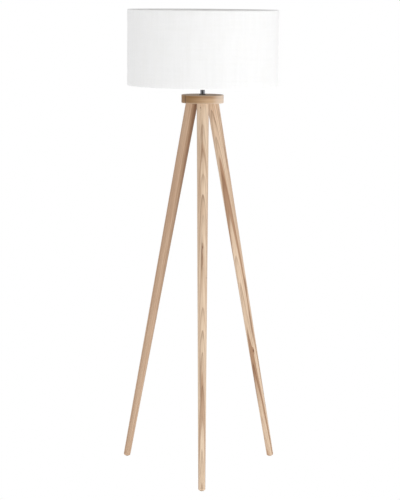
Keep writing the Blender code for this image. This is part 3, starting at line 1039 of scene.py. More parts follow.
@dataclass(frozen=True)
class Felt(Finish):
    """Pressed wool: matted fibres in several browns."""

    def shade(self, graph: Graph, shader: bpy.types.Node) -> dict[str, Socket]:
        """Two turns of drawn-out noise crossed over each other.

        Args:
            graph: the material's graph.
            shader: its Principled BSDF, whose constants are set here.

        Returns:
            Principled input name to the output that feeds it.
        """
        place = self.place(graph)
        one = graph.noise(graph.scale(place, (2200, 500, 900)), 1.0, 4, 0.7)
        two = graph.noise(graph.scale(place, (500, 2200, 900)), 1.0, 4, 0.7)
        mat = graph.between(graph.math("MULTIPLY", graph.math("ADD", one, two), 0.5), 0.35, 0.65)
        dark = tuple(0.55 * v for v in self.colour)
        shader.inputs["Sheen Weight"].default_value = 0.4
        shader.inputs["Specular IOR Level"].default_value = 0.1
        rough = graph.math("SUBTRACT", self.rough, graph.math("MULTIPLY", mat, 0.05))
        return {"Base Color": graph.mix(mat, dark, self.colour), "Roughness": rough,
                "Normal": graph.bump(mat, 0.9, 0.4 * MM)}


LEG_WOOD = {
    Side.FRONT: AshWood("ash_front_leg", "ash_wood", srgb(240, 218, 192), 0.5, pith=(0.036, 0.004, 0.0),
                        ring_width=2.6 * MM, drift=0.036, banding=0.5, knot=(0.017, -0.008, 0.016),
                        knot_size=2 * MM, heartwood=0.3,
                        stains=(Stain((0.0188, -0.003, 0.125), 3.2 * MM, 100 * MM, 0.55),
                                Stain((0.0165, -0.002, 0.50), 4.4 * MM, 90 * MM, 0.7),
                                Stain((0.0160, 0.001, 0.475), 2.2 * MM, 8 * MM, 0.9),
                                Stain((0.0090, 0.012, 0.575), 2.2 * MM, 6 * MM, 0.8),
                                Stain((0.0130, -0.006, 0.90), 3.6 * MM, 110 * MM, 0.5))),
    Side.RIGHT: AshWood("ash_right_leg", "ash_wood", srgb(236, 213, 188), 0.5, pith=(0.0104, -0.0386, 1.7),
                        ring_width=2.6 * MM, drift=-0.032, knot=(-0.006, -0.0128, 0.873), knot_size=2 * MM,
                        heartwood=0.35, stains=(Stain((0.0062, -0.0180, 0.035), 3.4 * MM, 50 * MM, 0.5),
                                                Stain((0.0062, -0.0178, 0.190), 4.0 * MM, 90 * MM, 0.5),
                                                Stain((0.0039, -0.0152, 0.64), 4.2 * MM, 45 * MM, 0.65),
                                                Stain((-0.0005, -0.0148, 0.775), 3.6 * MM, 90 * MM, 0.6),
                                                Stain((0.0085, -0.0165, 0.09), 3.2 * MM, 60 * MM, 0.45))),
    # The left leg's brown side, towards +X and fading down from the collar, is heartwood together with
    # painted shade from the front leg and the collar.
    Side.LEFT: AshWood("ash_left_leg", "ash_wood", srgb(212, 184, 158), 0.5, pith=(0.050, 0.026, 3.9),
                       drift=0.010, heartwood=0.3, contrast=0.5, banding=0.4, tan=srgb(190, 159, 131),
                       heart_and_shade_side=(-0.866, -0.5, 0.0), heart_and_shade_end=1.1),
}
COLLAR_WOOD = AshWood("ash_collar", "ash_wood", srgb(222, 203, 185), 0.6, pith=(1.31, 0.02, 0.3),
                      tan=srgb(198, 178, 160), line=srgb(136, 110, 90), heart=srgb(166, 141, 120),
                      source=GrainSource.BOARD)
BAND_WOOD = BandVeneer("ash_edge_band", "ash_band", srgb(206, 176, 144), 0.46, pith=(0.06, 0.004, 0.0),
                       ring_width=4.2 * MM, heartwood=0.6, contrast=0.5, tan=srgb(184, 150, 116), rub=0.5)
DARK_NICKEL = PlatedMetal("dark_nickel", "black_nickel", srgb(134, 134, 138), 0.08, wear=0.3)
BLACK_NICKEL = PlatedMetal("black_nickel_flange", "black_nickel", srgb(64, 63, 63), 0.2, wear=0.3)
ZINC = PlatedMetal("zinc_plate", "zinc_steel", srgb(188, 189, 192), 0.3, scratch=0.2)
BRASS = PlatedMetal("plain_brass", "brass", srgb(204, 168, 98), 0.26, bright=srgb(240, 214, 150),
                    scratch=0.15)
NICKEL = PlatedMetal("nickel_plate", "nickel", srgb(205, 201, 192), 0.2, scratch=0.12)
WHITE_PLASTIC = Coated("white_moulding", "white_plastic", srgb(238, 237, 232), 0.42)
HOUSING_PLASTIC = Coated("bulb_housing_moulding", "white_plastic", srgb(243, 242, 238), 0.33,
                         texture=1800.0)
CERAMIC = Coated("holder_ceramic", "ceramic", srgb(240, 236, 226), 0.22, texture=900.0, relief=0.1, coat=0.6)
OPAL = Coated("opal_globe", "opal_glass", srgb(250, 249, 244), 0.16, texture=120.0, relief=0.03, coat=0.5,
              clear=0.12)
POWDER = Coated("white_powder_coat", "white_wire", srgb(236, 235, 231), 0.38, texture=1500.0, relief=0.3)
GLAZE_BLACK = Coated("bulb_cap_glass", "ceramic", srgb(34, 32, 36), 0.14, texture=400.0, relief=0.05,
                     coat=0.4)
CLOTH = WovenCloth("white_drum_cloth", "white_cloth", srgb(247, 247, 247), 0.9)
# The real liner is white; its grey here is painted shade inside the drum.
SHADED_LINER_FILM = StiffFilm("shade_greyed_liner_film", "white_liner", srgb(216, 215, 212), 0.34)
FELT = Felt("brown_felt", "felt", srgb(132, 108, 84), 0.95)


def add_piece(name: str, grids: Sequence[Grid], body: Body, finish: Finish,
              *replaced: str) -> bpy.types.Object:
    """Makes a piece, dresses it and lets it ride on a body.

    Args:
        name: the piece's name.
        grids: its closed surfaces.
        body: what it moves with.
        finish: its material.
        replaced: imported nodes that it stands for.

    Returns:
        The piece.
    """
    piece = bpy.data.objects.new(name, build_mesh(name, grids))
    bpy.context.scene.collection.objects.link(piece)
    piece.data.materials.append(finish.material())
    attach(piece, body.value)
    if replaced:
        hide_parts(*replaced)
    log.info("%s: %d faces, rides on %s, replaces %s", name, len(piece.data.polygons), body.value, replaced)
    return piece


def dress_node(node: str, finish: Finish) -> None:
    """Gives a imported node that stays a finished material.

    Args:
        node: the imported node's name.
        finish: its material.
    """
    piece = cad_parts[node]
    piece.data.materials.clear()
    piece.data.materials.append(finish.material())
    log.info("%s: kept, in %s", node, finish.name)


# ------------------------------------------------------------------ wooden stand


@dataclass
class Leg:
    """A straight tapered leg, flush under the collar, rounded at the foot.

    Attributes:
        side: which leg it is.
        top_offset, foot_offset: centre line to lamp axis at the collar and at the floor.
        top_radius, foot_radius: half the leg's thickness at its two ends.
        rounding: radius of the foot's edge.
        bore, bore_depth: the hole for the hanger bolt.
        columns, rows: the grid's steps round and along.
    """

    side: Side
    top_offset: float = 40 * MM
    foot_offset: float = 290 * MM
    top_radius: float = 20 * MM
    foot_radius: float = 11.5 * MM
    rounding: float = 5 * MM
    bore: float = 4.3 * MM
    bore_depth: float = 32 * MM
    columns: int = 112
    rows: int = 260

    def surface(self) -> Grid:
        """The leg's skin.

        A point is O + t a + R (x cos p + y sin p), with a down the leg, x outwards and y sideways, and
        R falling evenly with t.  The skin starts at the collar's plane, where
        t = R0 cos p sin T / (cos T + k cos p sin T) for a leg leaning by T with taper k, and the foot
        is an arc and a disc, pressed up to the level landing.

        Returns:
            The skin, with its edge and timber marks.
        """
        node = "leg_" + self.side.name.lower()
        low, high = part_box(node)
        top, landing = high.z, low.z
        run = self.foot_offset - self.top_offset
        below_landing = 0.8 * MM
        drop = top - (landing - below_landing)
        lean, length = atan2(run, drop), hypot(run, drop)
        taper = (self.top_radius - self.foot_radius) / length
        out = np.array([cos(radians(self.side.value)), sin(radians(self.side.value)), 0])
        up = np.array([0, 0, 1])
        down, x = out * sin(lean) - up * cos(lean), out * cos(lean) + up * sin(lean)
        y = np.cross(up, out)
        origin = np.array([AXIS.x, AXIS.y, top]) + out * self.top_offset

        p = np.arange(self.columns) * FULL_TURN / self.columns
        tilt = np.cos(p) * sin(lean)
        start = self.top_radius * tilt / (cos(lean) + taper * tilt)
        share = np.linspace(0, 1, self.rows)[:, None]
        straight = length - self.rounding
        side_t = start + (straight - start) * share
        side_r = self.top_radius - taper * side_t
        side_r = side_r + 0.07 * MM * ripple(p, 9 * side_t, float(self.side.value)) * np.minimum(1, 8 * share)
        curl = np.radians(np.linspace(0, 90, 9))[1:, None] + 0 * p
        foot_t = straight + self.rounding * np.sin(curl)
        foot_r = side_r[-1] - self.rounding + self.rounding * np.cos(curl)
        disc_r = foot_r[-1] * np.array([0.66, 0.33, 0.0])[:, None]
        bore_t = np.stack([0 * p + self.bore_depth, 0 * p + self.bore_depth, self.bore * tilt / cos(lean)])
        bore_r = np.array([0.0, self.bore, self.bore])[:, None] + 0 * p
        t = np.vstack([bore_t, side_t, foot_t, 0 * disc_r + length])
        r = np.vstack([bore_r, side_r, foot_r, disc_r])
        points = origin + t[..., None] * down + r[..., None] * (
            np.cos(p)[:, None] * x + np.sin(p)[:, None] * y)
        points[..., 2] = np.maximum(points[..., 2], landing)
        timber = np.stack([r * np.cos(p), r * np.sin(p), t], axis=-1)
        edge = np.zeros(t.shape)
        rim, foot = len(bore_t), len(bore_t) + len(side_t)
        edge[rim] = 1
        edge[foot:foot + len(foot_t)] = np.sin(2 * curl) ** 0.5
        return Grid(points, marks={"edge": edge, "timber": timber})

    def dress(self) -> None:
        """Builds the leg and its felt pad, and dresses the fastenings in its top."""
        side = self.side.name.lower()
        add_piece("turned_leg_" + side, [self.surface()], Body.STAND, LEG_WOOD[self.side], "leg_" + side)
        add_piece("felt_pad_" + side, [self.pad(side)], Body.STAND, FELT, "foot_pad_" + side)
        dress_node("hanger_bolt_" + side, ZINC)
        dress_node("threaded_insert_" + side, BRASS)

    def pad(self, side: str) -> Grid:
        """A felt disc with a soft rim; its side is roughened by 0.12 mm ripples.

        Args:
            side: the leg's side, in lower case.

        Returns:
            The disc under the leg.
        """
        low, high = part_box("foot_pad_" + side)
        radius, thick = (high.x - low.x) / 2 / MM, (high.z - low.z) / MM

        def matted(r: Array, z: Array, a: Array) -> tuple[Array, Array]:
            """Fibre ends round the rim."""
            return r * (1 + 0.012 * ripple(9 * a, 4000 * z, 2.0)), z

        disc = turned([(0, 0, 0), (radius - 0.1, 0, 0.3), (radius - 0.1, thick, 0.5), (0, thick, 0)], 0.0, 72,
                      False, matted)
        centre = (low + high) / 2
        disc.points += np.array([centre.x - AXIS.x, centre.y - AXIS.y, 0])
        return disc


@dataclass
class Collar:
    """The round collar's core and the thin band glued round its edge.

    Attributes:
        seam: the angle where the band's two ends meet, in degrees.
        seam_gap: the open line between the ends.
        rounding: the band's softened edges, in millimetres.
        lit_side: the angle where the band is painted palest, a painted highlight on the side that faces the
            lights, in degrees.
    """

    seam: float = -145.0
    seam_gap: float = 0.35 * MM
    rounding: float = 0.8
    lit_side: float = -12.0

    def band(self) -> Grid:
        """A strip bent round the core, its outline filleted, closed at both cut ends.

        Returns:
            The band's closed grid.
        """
        low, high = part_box("collar_band")
        height, radius = (high.z - low.z) / MM, (high.x - low.x) / 2 / MM
        outline, wear = filleted([
            (radius - 1, 0, 0), (radius, 0, self.rounding), (radius, height, self.rounding),
            (radius - 1, height, 0)], True)
        levels = np.linspace(0.12, 0.88, 9) * height
        face = np.stack([np.full(len(levels), radius), levels], axis=1) * MM
        half = len(outline) // 2
        outline = np.vstack([outline[:half], face, outline[half:]])
        wear = np.concatenate([wear[:half], np.zeros(len(face)), wear[half:]])
        gap = self.seam_gap / (radius * MM)
        close = np.array([0, 0.3, 0.7, 1.1, 1.6, 2.2, 3.0, 4.0]) / radius
        angles = np.concatenate([gap / 2 + close, np.linspace(0.09, FULL_TURN - 0.09, 220),
                                 FULL_TURN - gap / 2 - close[::-1]]) + radians(self.seam)
        grid = revolve(outline, base=low.z, wear=wear, angles=angles, wrap=False,
                       relief=lambda r, z, a: (r + 0.05 * MM * ripple(a, 60 * z, 1.0), z))
        return self.with_ends(grid, angles, outline)

    def with_ends(self, grid: Grid, angles: Array, outline: Array) -> Grid:
        """Closes an open band with a fan at each end and adds its timber coordinates.

        Timber runs along the bend: (distance out from the core, height, radius x angle).  The lower
        edge's mark is raised by exp(-(height / 2.4 mm)^2), for rubbed wear and a painted highlight along that
        edge;
        tone is half of 1 + cos(angle from the pale side), brown veneer with painted shade at 0 and a painted
        highlight at 1; and joint is exp(-(distance from the cut ends / 1.3 mm)^2).

        Args:
            grid: the open band.
            angles: its columns' directions.
            outline: its section.

        Returns:
            The closed band with all its marks.
        """
        ends = [np.broadcast_to(grid.points[:, k].mean(axis=0), (len(outline), 1, 3)) for k in (0, -1)]
        points = np.concatenate([ends[0], grid.points, ends[1]], axis=1)
        a = np.concatenate([angles[:1], angles, angles[-1:]])
        radius = np.hypot(points[..., 0] - AXIS.x, points[..., 1] - AXIS.y)
        timber = np.stack([radius - radius.min(), points[..., 2] - points[..., 2].min(),
                           radius.max() * np.broadcast_to(a, radius.shape)], axis=-1)
        edge = grid.marks["edge"]
        edge = np.concatenate([edge[:, :1], edge, edge[:, -1:]], axis=1)
        # lower edge: rubbed wear together with a painted highlight from the floor's light
        edge = np.maximum(edge, 0.9 * np.exp(-(timber[..., 1] / (2.4 * MM)) ** 2))
        # round the band: 1 on the lit side for a painted highlight, 0 opposite for brown veneer with painted
        # shade
        tone = 0.5 + 0.5 * np.cos(np.broadcast_to(a, radius.shape) - radians(self.lit_side))
        reach = radius.max() * np.minimum(a - a[0], a[-1] - a)
        joint = np.broadcast_to(np.exp(-(reach / (1.3 * MM)) ** 2), radius.shape)
        return Grid(points, True, False, marks={"edge": edge, "timber": timber, "tone": tone, "joint": joint})

    def dress(self) -> None:
        """Builds the band and dresses the core."""
        dress_node("collar_core", COLLAR_WOOD)
        add_piece("edge_band", [self.band()], Body.STAND, BAND_WOOD, "collar_band")


# ------------------------------------------------------------------ stem and lampholder


def helix(depth: float, pitch: float, low: float, high: float, inside: bool = False) -> Relief:
    """A right-hand rounded thread: radius + depth/2 cos(2 pi z / pitch - a) between two heights.

    Args:
        depth, pitch: the thread's size.
        low, high: where it runs, fading over half a pitch at each end.
        inside: the thread is on the wall that faces the axis as well.

    Returns:
        The relief that adds it.
    """

    def carve(r: Array, z: Array, a: Array) -> tuple[Array, Array]:
        """Adds the thread to the outer wall, or to both walls.

        Args:
            r, z, a: radius, height and angle grids.

        Returns:
            The changed radius and height grids.
        """
        fade = np.clip((z - low) / (0.5 * pitch), 0, 1) * np.clip((high - z) / (0.5 * pitch), 0, 1)
        outer = 1.0 if inside else (r > r.max() - 1.2 * depth - 0.2 * MM)
        return r + fade * outer * depth / 2 * np.cos(FULL_TURN * z / pitch - a), z

    return carve


def ribs(count: int, depth: float, low: float, high: float) -> Relief:
    """Grip ribs: the outer wall rises by depth |cos(count a / 2)| ^ 6 between two heights.

    Args:
        count: ribs round the piece.
        depth: how far each one rises.
        low, high: where they run.

    Returns:
        The relief that adds them.
    """

    def carve(r: Array, z: Array, a: Array) -> tuple[Array, Array]:
        """Adds the ribs where the wall is outermost."""
        inside = (z > low) & (z < high) & (r > 0.9 * r.max())
        return r + inside * depth * np.abs(np.cos(count * a / 2)) ** 6, z

    return carve


def dense_wall(radius: float, low: float, high: float, count: int) -> list[Corner]:
    """Corners up an upright wall, close enough together to carry a thread."""
    return [(radius, float(z), 0) for z in np.linspace(low, high, count)]


@dataclass
class Stem:
    """The sleeve and flange over the collar, and the washer, nut and bush under it.

    Attributes:
        flats: the nut's width across its flats, in millimetres.
    """

    flats: float = 15.0

    def dress(self) -> None:
        """Builds the stem's visible pieces."""
        low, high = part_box("stem_sleeve")
        radius, tall = (high.x - low.x) / 2 / MM, (high.z - low.z) / MM
        add_piece("polished_sleeve", [turned([
            (radius - 1.7, 0, 0.2), (radius - 0.3, 0, 0.2), (radius, 0.5, 0.2), (radius, tall - 0.5, 0.2),
            (radius - 0.3, tall, 0.2), (radius - 1.7, tall, 0.2)], low.z, 96)],
            Body.STAND, DARK_NICKEL, "stem_sleeve")
        low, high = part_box("stem_flange")
        wide = (high.x - low.x) / 2 / MM
        add_piece("stepped_flange", [turned([
            (radius + 0.3, 0, 0.1), (wide, 0, 0.2), (wide, 1.5, 0.4), (wide - 0.9, 1.9, 0.2),
            (wide - 1.2, 3, 0.4), (radius + 0.3, 3, 0.2)], low.z, 96)],
            Body.STAND, BLACK_NICKEL, "stem_flange")
        low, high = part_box("clamp_washer")
        add_piece("stamped_washer", [turned([
            (5.3, 0, 0.2), (14, 0, 0.35), (14, 1.5, 0.2), (5.3, 1.5, 0.2)], low.z, 72)],
            Body.STAND, ZINC, "clamp_washer")
        add_piece("hexagon_nut", [self.nut()], Body.STAND, ZINC, "clamp_nut")
        self.bush()
        dress_node("threaded_tube", ZINC)

    def nut(self) -> Grid:
        """A chamfered nut: the outer radius is the lesser of a hexagon and a 30 degree cone at each end.

        Returns:
            The nut's closed grid.
        """
        low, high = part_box("clamp_nut")
        tall = (high.z - low.z) / MM
        bore, half = 5.3, self.flats / 2
        wall = dense_wall(half, 0, tall, 17)
        outline, wear = filleted([
            (bore, 0, 0), (half * 0.9, 0, 0), *wall, (half * 0.9, tall, 0), (bore, tall, 0)], True)

        def hexagon(r: Array, z: Array, a: Array) -> tuple[Array, Array]:
            """Half the flats over the cosine of the angle from the nearest flat.

            Args:
                r, z, a: radius, height and angle grids.

            Returns:
                The changed radius and height grids.
            """
            flat = half * MM / np.cos(np.mod(a, pi / 3) - pi / 6)
            end = np.minimum(z, tall * MM - z)
            cone = (half + 0.15) * MM + end / tan(radians(30))
            return np.where(r > 0.95 * half * MM, np.minimum(flat, cone), r), z

        return revolve(outline, 144, True, low.z, wear, hexagon)

    def bush(self) -> None:
        """The ribbed plastic bush at the tube's lower end, where the cord goes in."""
        low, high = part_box("cord_bush")
        tall = (high.z - low.z) / MM
        shoulder = tall - 10.3
        add_piece("ribbed_cord_bush", [turned([
            (3.5, 1, 0.5), (4.5, 0, 0.4), (7.2, 0, 0.7), (8, 1.2, 0.5), (8, tall, 0.2), (5.3, tall, 0.2),
            (5.3, shoulder, 0.1), (3.5, shoulder, 0.1)], low.z, 144, True,
            ribs(24, -0.35 * MM, 2 * MM, 11 * MM))], Body.STAND, WHITE_PLASTIC, "cord_bush")


@dataclass
class Lampholder:
    """The screw lampholder: cap, threaded skirt, insulator, shell, contact, terminals and shade ring.

    Attributes:
        pitch: the screw shell's thread, in metres a turn.
        ring_pitch: the coarse thread that the shade ring runs on.
    """

    pitch: float = 3.629 * MM
    ring_pitch: float = 2.5 * MM

    def dress(self) -> None:
        """Builds the lampholder's pieces from the cap's base upwards."""
        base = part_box("holder_cap")[0].z
        grip = ribs(40, 0.25 * MM, 10 * MM, 17 * MM)
        add_piece("moulded_holder_cap", [turned([
            (5.3, 0, 0.3), (10.3, 0, 0.8), (12.5, 1.5, 1.5), (16.6, 4.5, 2), (18.3, 8, 1), (18.3, 18, 0.3),
            (16.4, 18, 0.2), (16.4, 10.5, 1.5), (13, 5.5, 0.5), (5.3, 5.5, 0.2)], base, 160, True, grip)],
            Body.STAND, WHITE_PLASTIC, "holder_cap")
        wall = dense_wall(19.3, 25, 48, 90)
        add_piece("threaded_holder_skirt", [turned([
            (16.4, 18.3, 0.2), (18.6, 18.3, 0.3), (18.6, 22.5, 0.4), (24, 22.5, 0.6), (24, 25, 0.4), *wall,
            (18.8, 49, 0.3), (16.4, 49, 0.4)], base, 120, True,
            helix(0.6 * MM, self.ring_pitch, 26 * MM, 48.4 * MM))], Body.STAND, WHITE_PLASTIC, "holder_skirt")
        add_piece("glazed_insulator", [turned([
            (0, 14, 0), (16, 14, 0.5), (16, 45, 0.5), (14.6, 45, 0.4), (14.6, 17.5, 0.4), (0, 17.5, 0)],
            base, 96, False)], Body.STAND, CERAMIC, "holder_insulator")
        inner = dense_wall(13.55, 41, 18.6, 70)
        outer = dense_wall(14.0, 18.6, 41, 70)
        add_piece("rolled_screw_shell", [turned([*outer, *inner], base, 120, True,
                                                helix(0.5 * MM, self.pitch, 18.7 * MM, 40.5 * MM, True))],
                  Body.STAND, BRASS, "screw_shell")
        self.ring()
        for node in ("centre_contact", "terminal_live", "terminal_neutral", "terminal_screw_live",
                     "terminal_screw_neutral"):
            dress_node(node, BRASS)

    def ring(self) -> None:
        """The knurled ring that clamps the spider's hub."""
        low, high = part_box("shade_ring")
        tall = (high.z - low.z) / MM
        add_piece("knurled_shade_ring", [turned([
            (19.95, 0, 0.3), (26.3, 0, 0.3), (26.3, 2.1, 0.5), (24.9, 2.7, 0.5), (24.4, tall - 0.6, 0.5),
            (23.6, tall, 0.4), (19.95, tall, 0.5)], low.z, 192, True,
            ribs(36, 0.5 * MM, 2.6 * MM, (tall - 0.7) * MM))], Body.STAND, WHITE_PLASTIC, "shade_ring")


@dataclass
class Bulb:
    """The screw-in bulb: tip, glass insulator, threaded cap, finned housing and opal globe.

    Attributes:
        pitch: the cap's thread, the same as the screw shell's.
        globe_radius, wall: the globe's size, in millimetres.
    """

    pitch: float = 3.629 * MM
    globe_radius: float = 30.0
    wall: float = 1.2

    def dress(self) -> None:
        """Builds the bulb above the lampholder's base."""
        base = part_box("holder_cap")[0].z
        add_piece("soldered_tip", [turned([
            (0, 19.6, 0), (3.4, 19.7, 1), (4.7, 20.6, 0.4), (4.7, 21.4, 0.2), (0, 21.4, 0)],
            base, 48, False)], Body.BULB_FOOT, NICKEL, "bulb_tip")
        wall = dense_wall(12.85, 25.6, 45.2, 80)
        cap = turned([
            (0, 23.2, 0), (10.2, 23.2, 0.4), (12.2, 24.6, 0.6), *wall, (13.1, 45.8, 0.2), (13.1, 46.5, 0.2),
            (0, 46.5, 0)], base, 120, False, helix(0.5 * MM, self.pitch, 25.8 * MM, 45 * MM))
        add_piece("rolled_bulb_cap", [cap], Body.BULB, NICKEL, "bulb_cap")
        add_piece("cap_insulator", [turned([
            (0, 21.8, 0), (5.4, 21.8, 0.4), (9.8, 22.9, 0.1), (9.8, 23.1, 0.05), (0, 23.1, 0)],
            base, 72, False)], Body.BULB, GLAZE_BLACK)
        add_piece("finned_bulb_housing", [turned([
            (0, 46.8, 0), (13.2, 46.8, 0.4), (13.7, 50, 1), (15.6, 56, 8), (20.4, 65, 20), (25.4, 73, 12),
            (28.3, 78.2, 1.5), (28.3, 79.5, 0.3), (0, 79.5, 0)], base, 168, False, self.fins)],
            Body.BULB, HOUSING_PLASTIC, "bulb_housing")
        add_piece("opal_bulb_globe", [self.globe(base)], Body.BULB, OPAL, "bulb_globe")

    def fins(self, r: Array, z: Array, a: Array) -> tuple[Array, Array]:
        """Shallow cooling grooves: the flank sinks by up to 0.35 mm, 28 times round.

        Args:
            r, z, a: radius, height and angle grids.

        Returns:
            The changed radius and height grids.
        """
        flank = np.clip((z - 54 * MM) / (6 * MM), 0, 1) * np.clip((75 * MM - z) / (5 * MM), 0, 1)
        return r - flank * (r > 5 * MM) * 0.35 * MM * np.abs(np.sin(14 * a)) ** 3, z

    def globe(self, base: float) -> Grid:
        """A thin sphere cut off at its rim: two arcs about one centre, a wall's thickness apart.

        Args:
            base: the lampholder's base height.

        Returns:
            The globe's closed grid.
        """
        centre, start = (0.0, 86.5), -12.0
        outer = arc(centre, self.globe_radius, start, 90, 33)
        inner = arc(centre, self.globe_radius - self.wall, 90, start, 33)
        rim = np.array([[inner[-1, 0], 79.9], [outer[0, 0], 79.9]])
        outline = np.vstack([outer, inner, rim[:1], rim[1:]]) * MM
        outline[[32, 33], 0] = 0
        return revolve(outline, 128, True, base)


# ------------------------------------------------------------------ shade


@dataclass
class DrumShade:
    """The drum shade: cloth rolled over two wires, a stiff liner, and a three-armed spider.

    Attributes:
        cloth: the cloth's thickness.
        wire: radius of the two ring wires.
        roll: radius at which the cloth's middle bends round a wire.
        hem: height of the turned-in hem.
        arm_angles: directions of the spider's arms, in degrees.
        seam_angle: where the cloth's ends lap, in degrees.
        arm_radius: half the thickness of an arm.
        overlap: how far the cloth's ends lap.
    """

    cloth: float = 0.5 * MM
    wire: float = 1.6 * MM
    roll: float = 2.2 * MM
    hem: float = 13 * MM
    arm_angles: tuple[float, ...] = (90.0, 210.0, 330.0)
    seam_angle: float = 62.0
    arm_radius: float = 1.8 * MM
    overlap: float = 12 * MM

    def __post_init__(self) -> None:
        """Reads the drum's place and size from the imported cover."""
        low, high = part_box("shade_cover")
        self.base, self.height, self.radius = low.z, high.z - low.z, (high.x - low.x) / 2
        self.wire_radius = self.radius - self.cloth / 2 - self.roll - 0.05 * MM
        self.wire_inset = self.roll + self.cloth / 2

    def fold(self) -> tuple[Array, Array]:
        """The line down the cloth's middle, in section, and the distance along it.

        It comes down from the bottom hem's cut edge, goes 215 degrees round the wire, straight up the
        wall and the same way over the top wire into the top hem.

        Returns:
            The line's points and their distances along it.
        """
        straight = self.wire_radius + 0.1 * MM
        turn = arc((self.wire_radius, self.wire_inset), self.roll, -215, 0, 40)
        knee = self.wire_inset + 4 * MM
        lower = np.vstack([[straight, self.hem], [straight, knee], turn])
        upper = lower[::-1] * [1, -1] + [0, self.height]
        line = np.vstack([lower, upper])
        along = np.concatenate([[0], np.cumsum(np.hypot(*np.diff(line, axis=0).T))])
        even = np.linspace(0, along[-1], 3000)
        smooth = np.stack([np.interp(even, along, line[:, k]) for k in (0, 1)], axis=1)
        kernel = np.hanning(9) / np.hanning(9).sum()
        for k in (0, 1):
            smooth[4:-4, k] = np.convolve(smooth[:, k], kernel, mode="valid")
        return smooth, even

    def skin(self, angles: Array, wrap: bool, start: Array, end: Array, lift: float, thick: float) -> Grid:
        """Cloth that follows the fold between two distances, raised off its middle line.

        Args:
            angles: the columns' directions.
            wrap: the cloth goes right round.
            start, end: where each column's cloth begins and ends along the fold.
            lift, thick: the cloth's middle is lift outwards of the fold, and thick is its thickness.

        Returns:
            A closed skin with a map in metres: distance round by distance along the fold.
        """
        line, along = self.fold()
        tangent = np.gradient(line, along, axis=0)
        outwards = np.stack([tangent[:, 1], -tangent[:, 0]], axis=1)
        outwards /= np.hypot(*outwards.T)[:, None]
        bend = along[-1] - self.height + 2 * self.wire_inset
        foot, head = bend / 2, along[-1] - bend / 2
        low = start + (foot - start) * np.linspace(0, 1, 26)[:, None]
        wall = (foot + (head - foot) * np.linspace(0, 1, 26)[1:-1, None]) + 0 * start
        high = head + (end - head) * np.linspace(0, 1, 26)[:, None]
        s = np.vstack([low, wall, high])
        r, z, nr, nz = (np.interp(s, along, column) for column in (*line.T, *outwards.T))
        sides = []
        for offset in (lift + thick / 2, lift - thick / 2):
            sides.append((r + nr * offset, z + nz * offset))
        radius = np.vstack([sides[0][0], sides[1][0][::-1]])
        height = np.vstack([sides[0][1], sides[1][1][::-1]])
        both = np.vstack([s, s[::-1]])
        slack = np.sin(pi * np.clip(height / self.height, 0, 1))
        radius = radius + 0.18 * MM * slack * ripple(2 * angles, 9 * height / self.height, 0.6)
        points = np.stack([AXIS.x + radius * np.cos(angles), AXIS.y + radius * np.sin(angles),
                           self.base + height], axis=-1)
        u = np.broadcast_to(self.radius * angles, both.shape)
        edge = (both < start + 1 * MM) | (both > end - 1 * MM)
        if not wrap:
            pairs = [(points[:, k] + points[::-1, k]) / 2 for k in (0, -1)]
            points = np.concatenate([pairs[0][:, None], points, pairs[1][:, None]], axis=1)
            pick = np.concatenate([[0], np.arange(len(angles)), [len(angles) - 1]])
            both, u, edge = both[:, pick], u[:, pick], edge[:, pick]
        last = 2 * u[:, -1:] - u[:, -2:-1] if not wrap else u[:, :1] + FULL_TURN * self.radius
        u = np.concatenate([u, last], axis=1)
        v = np.concatenate([both, both[:, :1]], axis=1)
        uv = np.stack([np.vstack([u, u[:1]]), np.vstack([v, v[:1]])], axis=-1)
        return Grid(points, True, wrap, uv, {"edge": edge.astype(float)})

    def cover(self) -> bpy.types.Object:
        """The cloth, with the bottom hem notched where the spider's arms reach the wire.

        Returns:
            The cloth.
        """
        arms = np.radians(self.arm_angles)
        notch = 2.7 * MM / self.wire_radius
        near = np.linspace(-1.8, 1.8, 25) * notch
        even = np.linspace(0, FULL_TURN, 360, endpoint=False)
        angles = np.concatenate([even, (arms[:, None] + near).ravel()])
        angles = np.unique(np.round(np.mod(angles, FULL_TURN), 6))
        gap = np.abs(np.mod(angles - arms[:, None] + pi, FULL_TURN) - pi).min(axis=0)
        cut = 1 - np.clip((gap - notch) / (0.2 * notch) + 0.5, 0, 1)
        _, along = self.fold()
        hem_run = self.hem - self.wire_inset - 4 * MM
        deep = hem_run + 3.6 * MM + radians(55) * self.roll
        wavy = 0.35 * MM * (1 + ripple(3 * angles, 0 * angles, 4.0))
        start = wavy + (deep - wavy) * cut
        end = along[-1] - 0.35 * MM * (1 + ripple(4 * angles, 0 * angles, 1.0))
        skin = self.skin(angles, True, start, end, 0.0, self.cloth)
        return add_piece("drum_cloth", [skin], Body.SHADE, CLOTH, "shade_cover")

    def lap(self) -> bpy.types.Object:
        """The cloth's lapped end: a narrow strip of the same cloth, glued up the wall and into the rolls.

        Returns:
            The strip.
        """
        width = self.overlap / self.radius
        angles = radians(self.seam_angle) + np.linspace(-0.5, 0.5, 13) * width
        _, along = self.fold()
        into = self.hem - self.wire_inset + 5.5 * MM
        start = into + 0 * angles
        lift = self.cloth / 2 + 0.16 * MM
        return add_piece("cloth_lap", [self.skin(angles, False, start, along[-1] - start, lift, 0.26 * MM)],
                         Body.SHADE, CLOTH)

    def liner(self) -> bpy.types.Object:
        """The stiff liner: one sheet bent round, its end stepping in by its thickness to lap the start.

        Returns:
            The liner.
        """
        low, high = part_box("shade_liner")
        thick, outer = 0.4 * MM, (high.x - low.x) / 2 - 0.05 * MM
        tall = high.z - low.z
        outline, wear = filleted([
            ((outer - thick) / MM, 0, 0), (outer / MM, 0, 0.1), (outer / MM, tall / MM, 0.1),
            ((outer - thick) / MM, tall / MM, 0)], True, 3)
        begin = radians(self.seam_angle + 8)
        lapped = 14 * MM / outer
        angles = begin + np.concatenate([np.linspace(0, FULL_TURN - 0.06, 300), np.linspace(
            FULL_TURN - 0.05, FULL_TURN + lapped, 24)])

